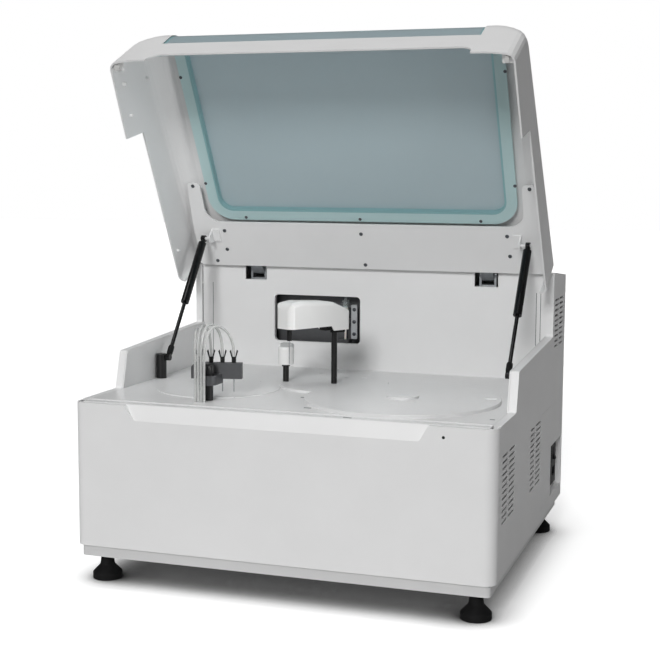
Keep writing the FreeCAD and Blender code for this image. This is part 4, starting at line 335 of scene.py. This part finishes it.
floor_finish = bpy.data.materials.new("studio_floor_white")
floor_finish.use_nodes = True
ground = floor_finish.node_tree
# Near the object, ambient occlusion darkens the floor's colour and glow for the camera: a painted contact
# shadow.
shadow_reach, dark_at, clear_at, floor_glow = 85 * MM, 0.16, 0.97, 0.50
ground.nodes.remove(ground.nodes["Principled BSDF"])
looked_at = put(ground, "ShaderNodeLightPath")
matt = put(ground, "ShaderNodeBsdfDiffuse", {"Color": linear("#c8c8c8")})
painted_contact_shadow = put(ground, "ShaderNodeAmbientOcclusion", {"Distance": shadow_reach}, samples=12)
open_share = put(ground, "ShaderNodeMapRange", {"Value": painted_contact_shadow.outputs["AO"], "From Min": dark_at,
                                                "From Max": clear_at}, interpolation_type="SMOOTHSTEP")
pale = put(ground, "ShaderNodeBsdfDiffuse", {"Color": open_share.outputs["Result"]})
glow_power = put(ground, "ShaderNodeMath", {0: open_share.outputs["Result"], 1: floor_glow},
                 operation="MULTIPLY")
glow = put(ground, "ShaderNodeEmission", {"Color": linear("#ffffff"), "Strength": glow_power.outputs[0]})
own = put(ground, "ShaderNodeAddShader", {0: pale.outputs[0], 1: glow.outputs[0]})
pick = put(ground, "ShaderNodeMixShader", {0: looked_at.outputs["Is Camera Ray"], 1: matt.outputs[0],
                                           2: own.outputs[0]})
ground.links.new(pick.outputs[0], ground.nodes["Material Output"].inputs["Surface"])
reach = 14.0
floor_mesh = bpy.data.meshes.new("floor")
floor_mesh.from_pydata([(-reach, -reach, 0), (reach, -reach, 0), (reach, reach, 0), (-reach, reach, 0)], [],
                       [(0, 1, 2, 3)])
floor_mesh.materials.append(floor_finish)
floor = bpy.data.objects.new("floor", floor_mesh)
scene.collection.objects.link(floor)

# ---------------------------------------------------------------- screws

GOLDEN_TURN = 2.399  # each head is turned on from the last by this angle, so no two stand alike


def axes_of(ways):
    """Unit normals with two unit directions square to each."""
    ways = np.asarray(ways, float)
    ways = ways / np.linalg.norm(ways, axis=-1, keepdims=True)
    helper = np.where(abs(ways[:, :1]) > 0.9, [[0, 1.0, 0]], [[1.0, 0, 0]])
    first = np.cross(ways, helper)
    first /= np.linalg.norm(first, axis=1, keepdims=True)
    return ways, first, np.cross(ways, first)


def copies(faces, count, points_each):
    """The same faces once for each copy, numbered on past the points of the copies before it."""
    return (faces[None] + (np.arange(count) * points_each)[:, None, None]).reshape(-1, 4)


def screw_heads(name, centres, ways, radius, height, body, material):
    """Pan heads in rows of rings round a centre. Height over the ring radius r falls as
    height*(1 - 0.45*(r/radius)^2), drops to a sunk rim, and a cross recess is pressed in wherever one
    of the two head axes is within a seventh of the radius and the other within half of it."""
    centres, ways = np.asarray(centres, float), np.asarray(ways, float)
    shares = np.array([0.0, 0.18, 0.3, 0.46, 0.52, 0.78, 0.94, 1.0, 1.0, 0.0])
    turns = np.linspace(0, 2 * np.pi, 32, endpoint=False)
    r, a = np.meshgrid(shares * radius, turns, indexing="ij")
    u, v = r * np.cos(a), r * np.sin(a)
    dome = height * (1 - 0.45 * (r / radius) ** 2)
    arm = (np.minimum(abs(u), abs(v)) < radius / 7) & (np.maximum(abs(u), abs(v)) < radius / 2)
    dome = dome - arm * height * 0.55
    dome[7] = 0.4 * dome[6]
    dome[8:] = -0.3 * MM
    count = len(centres)
    spin = np.arange(count) * GOLDEN_TURN
    ways, first, second = axes_of(ways)
    e = first * np.cos(spin)[:, None] + second * np.sin(spin)[:, None]
    f = np.cross(ways, e)
    flat_u, flat_v, flat_h = u.ravel(), v.ravel(), dome.ravel()
    points = (centres[:, None] + e[:, None] * flat_u[:, None] + f[:, None] * flat_v[:, None]
              + ways[:, None] * flat_h[:, None])
    faces = copies(quads(len(shares), len(turns)), count, len(flat_u))
    close_doubles(shown(name, points, faces, material, body))


def close_doubles(obj):
    """Merges the points that meet at poles, and turns every face outwards."""
    work = bmesh.new()
    work.from_mesh(obj.data)
    bmesh.ops.remove_doubles(work, verts=work.verts, dist=1e-7)
    bmesh.ops.dissolve_degenerate(work, edges=work.edges, dist=1e-8)
    bmesh.ops.recalc_face_normals(work, faces=work.faces)
    work.to_mesh(obj.data)
    work.free()


def both_sides(places):
    """Places left and right of the middle plane; one on that plane stays single."""
    return [(s * x, y, z) for x, y, z in places for s in ((-1, 1) if x else (1,))]


frame_screws = both_sides([(279, 424, 474.5), (281.5, 466, 474.5), (307, 492.5, 474.5), (0, 425.5, 474.5),
                           (0, 493, 474.5), (326, 326.9, 474.5)])
screw_heads("lid_frame_screws", lid_opened([part_point(*p) for p in frame_screws]),
            [direction_opened((0, 0, -1))] * len(frame_screws), 3.6 * MM, 1.8 * MM, "lid", dark_zinc)

# The closed lid's top line runs through these two points (y, z), and the window flange lies below it.
(front_y, front_z), (rear_y, rear_z), flange_drop = (68, 483), (499, 502), 16
slope = math.atan2(rear_z - front_z, rear_y - front_y)


def flange_z(y):
    """Height of the window flange's inner face: the lid's top line less the drop square to it (mm)."""
    return front_z + (y - front_y) * math.tan(slope) - flange_drop / math.cos(slope)


flange_screws = both_sides([(299.5, 101, flange_z(101)), (299.5, 322.7, flange_z(322.7)),
                            (231, 397.3, flange_z(397.3)), (0, 397.5, flange_z(397.5))])
screw_heads("window_flange_screws", lid_opened([part_point(*p) for p in flange_screws]),
            [direction_opened((0, math.sin(slope), -math.cos(slope)))] * len(flange_screws), 3.0 * MM,
            1.3 * MM, "lid", dark_zinc)

# ---------------------------------------------------------------- small turned and flat pieces


def turned(name, centres, ways, profile, material, body, ridges=0, depth=0.0, turns=36):
    """Bodies of revolution: at turn a row i lies at centre + r*(cos a*e + sin a*f) + h*way, where
    r = r_i*(1 + depth*cos(ridges*a)) and h = h_i. The profile starts and ends on the axis (mm)."""
    centres = np.asarray(centres, float)
    ways, e, f = axes_of(ways)
    rows = np.asarray(profile, float) * MM
    a = np.linspace(0, 2 * np.pi, turns, endpoint=False)
    r = rows[:, :1] * (1 + depth * np.cos(ridges * a))[None]
    u, v, h = (r * np.cos(a)).ravel(), (r * np.sin(a)).ravel(), np.repeat(rows[:, 1], turns)
    points = (centres[:, None] + e[:, None] * u[:, None] + f[:, None] * v[:, None]
              + ways[:, None] * h[:, None])
    faces = copies(quads(len(rows), turns), len(centres), len(u))
    close_doubles(shown(name, points, faces, material, body))


def plates(name, centres, halves, ways, alongs, high, material, body, power=8.0):
    """Flat rounded plates: at turn a the rim is u = A*sign(cos a)*|cos a|^(2/power) along its length and
    v = B*sign(sin a)*|sin a|^(2/power) across; rows climb from under the surface to height high, step in
    by a fifth of it and close in the middle. Centres in metres, halves and high in mm."""
    centres, halves = np.asarray(centres, float), np.asarray(halves, float) * MM
    ways = np.asarray(ways, float)
    ways = ways / np.linalg.norm(ways, axis=1, keepdims=True)
    e = np.asarray(alongs, float)
    e = e / np.linalg.norm(e, axis=1, keepdims=True)
    f = np.cross(ways, e)
    a = np.linspace(0, 2 * np.pi, 48, endpoint=False)
    ca, sa = np.cos(a), np.sin(a)
    ring_u, ring_v = np.sign(ca) * abs(ca) ** (2 / power), np.sign(sa) * abs(sa) ** (2 / power)
    grow = np.array([0.0, 1.0, 1.0, 1.0, 0.0])
    pull = np.array([0.0, 0.0, 0.0, 0.2, 0.0]) * high * MM
    climb = np.array([-0.3, -0.3, 0.8, 1.0, 1.0]) * high * MM
    reach_u, reach_v = (np.maximum(halves[:, k, None, None] * grow[None, :, None] - pull[None, :, None], 0)
                        for k in (0, 1))
    u, v = ring_u[None, None] * reach_u, ring_v[None, None] * reach_v
    points = (centres[:, None, None] + e[:, None, None] * u[..., None] + f[:, None, None] * v[..., None]
              + ways[:, None, None] * climb[None, :, None, None])
    faces = copies(quads(len(grow), len(a)), len(centres), len(grow) * len(a))
    close_doubles(shown(name, points, faces, material, body, smooth=False))


def corners_of(name):
    """Lowest and highest point of a CAD node in the row frame, metres."""
    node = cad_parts[name]
    flat = np.empty(len(node.data.vertices) * 3)
    node.data.vertices.foreach_get("co", flat)
    turn_part, shift = np.array(node.matrix_world.to_3x3()), np.array(node.matrix_world.translation)
    spots = flat.reshape(-1, 3) @ turn_part.T + shift
    return spots.min(0), spots.max(0)


# Bosses with a blind hole on the inner face of the lid's left wall, which leans out towards the rear.
wall_x, wall_lean = 347, 0.0202
boss_places = np.array([(59, 344), (118, 344), (86, 431), (434, 411)], float)
boss_x = -(wall_x + wall_lean * boss_places[:, 0])
turned("lid_wall_bosses", lid_opened(part_point(boss_x, boss_places[:, 0], boss_places[:, 1])),
       [(1.0, 0, 0)] * 4, [(0, 1.5), (1.5, 1.5), (1.6, 5.0), (2.9, 5.0), (3.3, 0.5), (3.6, -0.5), (0, -0.5)],
       painted_abs, "lid")

# Rubber sleeve on each gas strut where the rod enters its ball end.
foot_x, foot_y, foot_z = 319.4, 284.4, 351.1
strut_way = (0.0, 163.8, 212.7)
for side, mark in ((-1, "left"), (1, "right")):
    turned("strut_sleeve_" + mark, [part_point(side * foot_x, foot_y, foot_z)], [strut_way],
           [(0, 5), (4.4, 5.5), (5.4, 8), (5.6, 10), (5.6, 21), (5.0, 23.5), (3.6, 25), (0, 25)],
           moulded_rubber, "strut_rod_" + mark)

# Ridged grip of the wash station's clamp knob.
turned("wash_knob_grip", [part_point(-154.5, 92.0, 0.0)], [(0, 0, 1.0)],
       [(0, 356), (10.8, 356.2), (11.0, 357), (11.0, 370), (10.6, 370.6), (0, 370.6)], black_anodised,
       "wash_head", ridges=18, depth=0.022, turns=144)

# Dark marks on the deck beside the cells and cups: painted shade standing for the slot holes there.
mark_places = np.array([(-51.7, 293.0), (-9.5, 171.5), (29.0, 78.0), (117.0, 18.0), (335.5, 80.0)])
mark_halves = np.array([(7.5, 2.0), (7.0, 2.0), (6.5, 2.0), (7.0, 1.4), (4.0, 1.6)])
plates("deck_slot_painted_shade", part_point(mark_places[:, 0], mark_places[:, 1], 311.0), mark_halves, [(0, 0, 1.0)] * 5,
       [(1.0, 0, 0)] * 5, 0.35, painted_shade_grey, "housing")
turned("deck_buttons", part_point(np.array([-199.5, -157.7]), np.array([126.0, 127.3]), 311.0),
       [(0, 0, 1.0)] * 2, [(0, -0.4), (3.4, -0.4), (3.4, 0.6), (2.8, 1.1), (0, 1.2)], brushed_stainless,
       "housing")

# Valve block and two fittings beside the syringe, seen through the window of the rear wall.
plates("valve_block", [part_point(-31.0, 520.5, 404.0)], [(34.0, 6.5)], [(0, -1.0, 0)], [(0, 0, 1.0)], 3.0,
       clear_anodised, "housing", power=12.0)
turned("valve_fittings", part_point(-31.0, 517.6, np.array([380.0, 404.0, 428.0])), [(0, -1.0, 0)] * 3,
       [(0, -0.5), (3.6, -0.5), (3.6, 0.6), (2.4, 0.7), (2.4, 1.4), (0, 1.5)], dark_zinc, "housing")

# Bare label on the hub of the disc cover.
hub_top = corners_of("sample_disc_cover")[1][2]
plates("hub_label", [(0.155, -0.1155, hub_top)], [(11.0, 5.0)], [(0, 0, 1.0)], [(1.0, 0.25, 0)], 0.2,
       bare_foil, "housing")

# A dark strip painted as the shade in the gap between the covers and the recessed tray.
gap_z = corners_of("front_cover")[0][2]
plates("tray_gap_painted_shade", [(0, front_face + 6.9 * MM, gap_z - 0.8 * MM)], [(352.0, 0.8)], [(0, -1.0, 0)],
       [(1.0, 0, 0)], 0.2, painted_shade_grey, "housing", power=30.0)

# Black sheets behind the three groups of louvres of both sides: painted shade for the dark inside.
vent_sheet_places = np.array([(95.5, 209.5, 52, 60), (339.5, 205.5, 52, 60), (568.0, 419.0, 50, 50)])
for side, mark in ((-1, "left"), (1, "right")):
    plates("vent_shade_sheets_" + mark, part_point(side * 354.5, vent_sheet_places[:, 0], vent_sheet_places[:, 1]), vent_sheet_places[:, 2:],
           [(side, 0, 0)] * 3, [(0, 1.0, 0)] * 3, 0.9, vent_painted_shade, "housing", power=20.0)

# Upright seams of the rear wall beside its corners: dark strips painted where shade falls in them.
seam_x = np.array([-325.0, 327.0, 335.0])
plates("rear_wall_seam_shade", part_point(seam_x, 506.0, 396.0), [(78.0, 0.5)] * 3, [(0, -1.0, 0)] * 3,
       [(0, 0, 1.0)] * 3, 0.2, painted_shade_grey, "housing", power=30.0)

# ---------------------------------------------------------------- wash hoses

hose_routes = (
    ((-178.30, 112.60, 382.0), (-178.00, 112.20, 406.0), (-176.00, 104.00, 427.0), (-172.00, 87.00, 434.0),
     (-168.50, 73.00, 424.0), (-167.10, 68.30, 398.0), (-166.95, 68.00, 350.0), (-166.95, 68.00, 272.0)),
    ((-159.43, 117.53, 382.0), (-159.60, 117.20, 409.0), (-160.40, 108.00, 431.0), (-161.50, 90.00, 440.0),
     (-162.00, 74.50, 429.0), (-161.70, 68.60, 402.0), (-161.65, 68.00, 352.0), (-161.65, 68.00, 272.0)),
    ((-140.57, 122.47, 382.0), (-140.90, 122.00, 408.0), (-144.00, 112.50, 430.0), (-150.00, 93.00, 442.0),
     (-154.60, 75.50, 431.0), (-156.20, 68.40, 404.0), (-156.35, 68.00, 353.0), (-156.35, 68.00, 272.0)),
    ((-121.70, 127.40, 382.0), (-122.20, 126.80, 405.0), (-128.50, 116.00, 426.0), (-140.00, 97.00, 440.0),
     (-148.20, 77.50, 429.0), (-151.00, 68.70, 401.0), (-151.05, 68.00, 351.0), (-151.05, 68.00, 272.0)))


def wash_hose(name, route):
    """Silicone tube on a NURBS line whose control points are the route."""
    data = bpy.data.curves.new(name, "CURVE")
    data.dimensions = "3D"
    data.bevel_depth = 2.25 * MM
    data.bevel_resolution = 6
    data.use_fill_caps = True
    data.resolution_u = 12
    line = data.splines.new("NURBS")
    line.points.add(len(route) - 1)
    for held, (x, y, z) in zip(line.points, route):
        held.co = (*part_point(x, y, z), 1.0)
    line.use_endpoint_u = True
    line.order_u = 3
    data.materials.append(silicone_tube)
    obj = bpy.data.objects.new(name, data)
    scene.collection.objects.link(obj)
    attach(obj, "wash_head")
    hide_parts("wash_hoses")
    return obj


hose_lengths = (0.2321, 0.2441, 0.2511, 0.2519)  # along the line, from nozzle to under the deck
for i, (route, long) in enumerate(zip(hose_routes, hose_lengths)):
    hose = wash_hose("wash_hose_%d" % (i + 1), route)
    tuple(part_point(*route[0]))
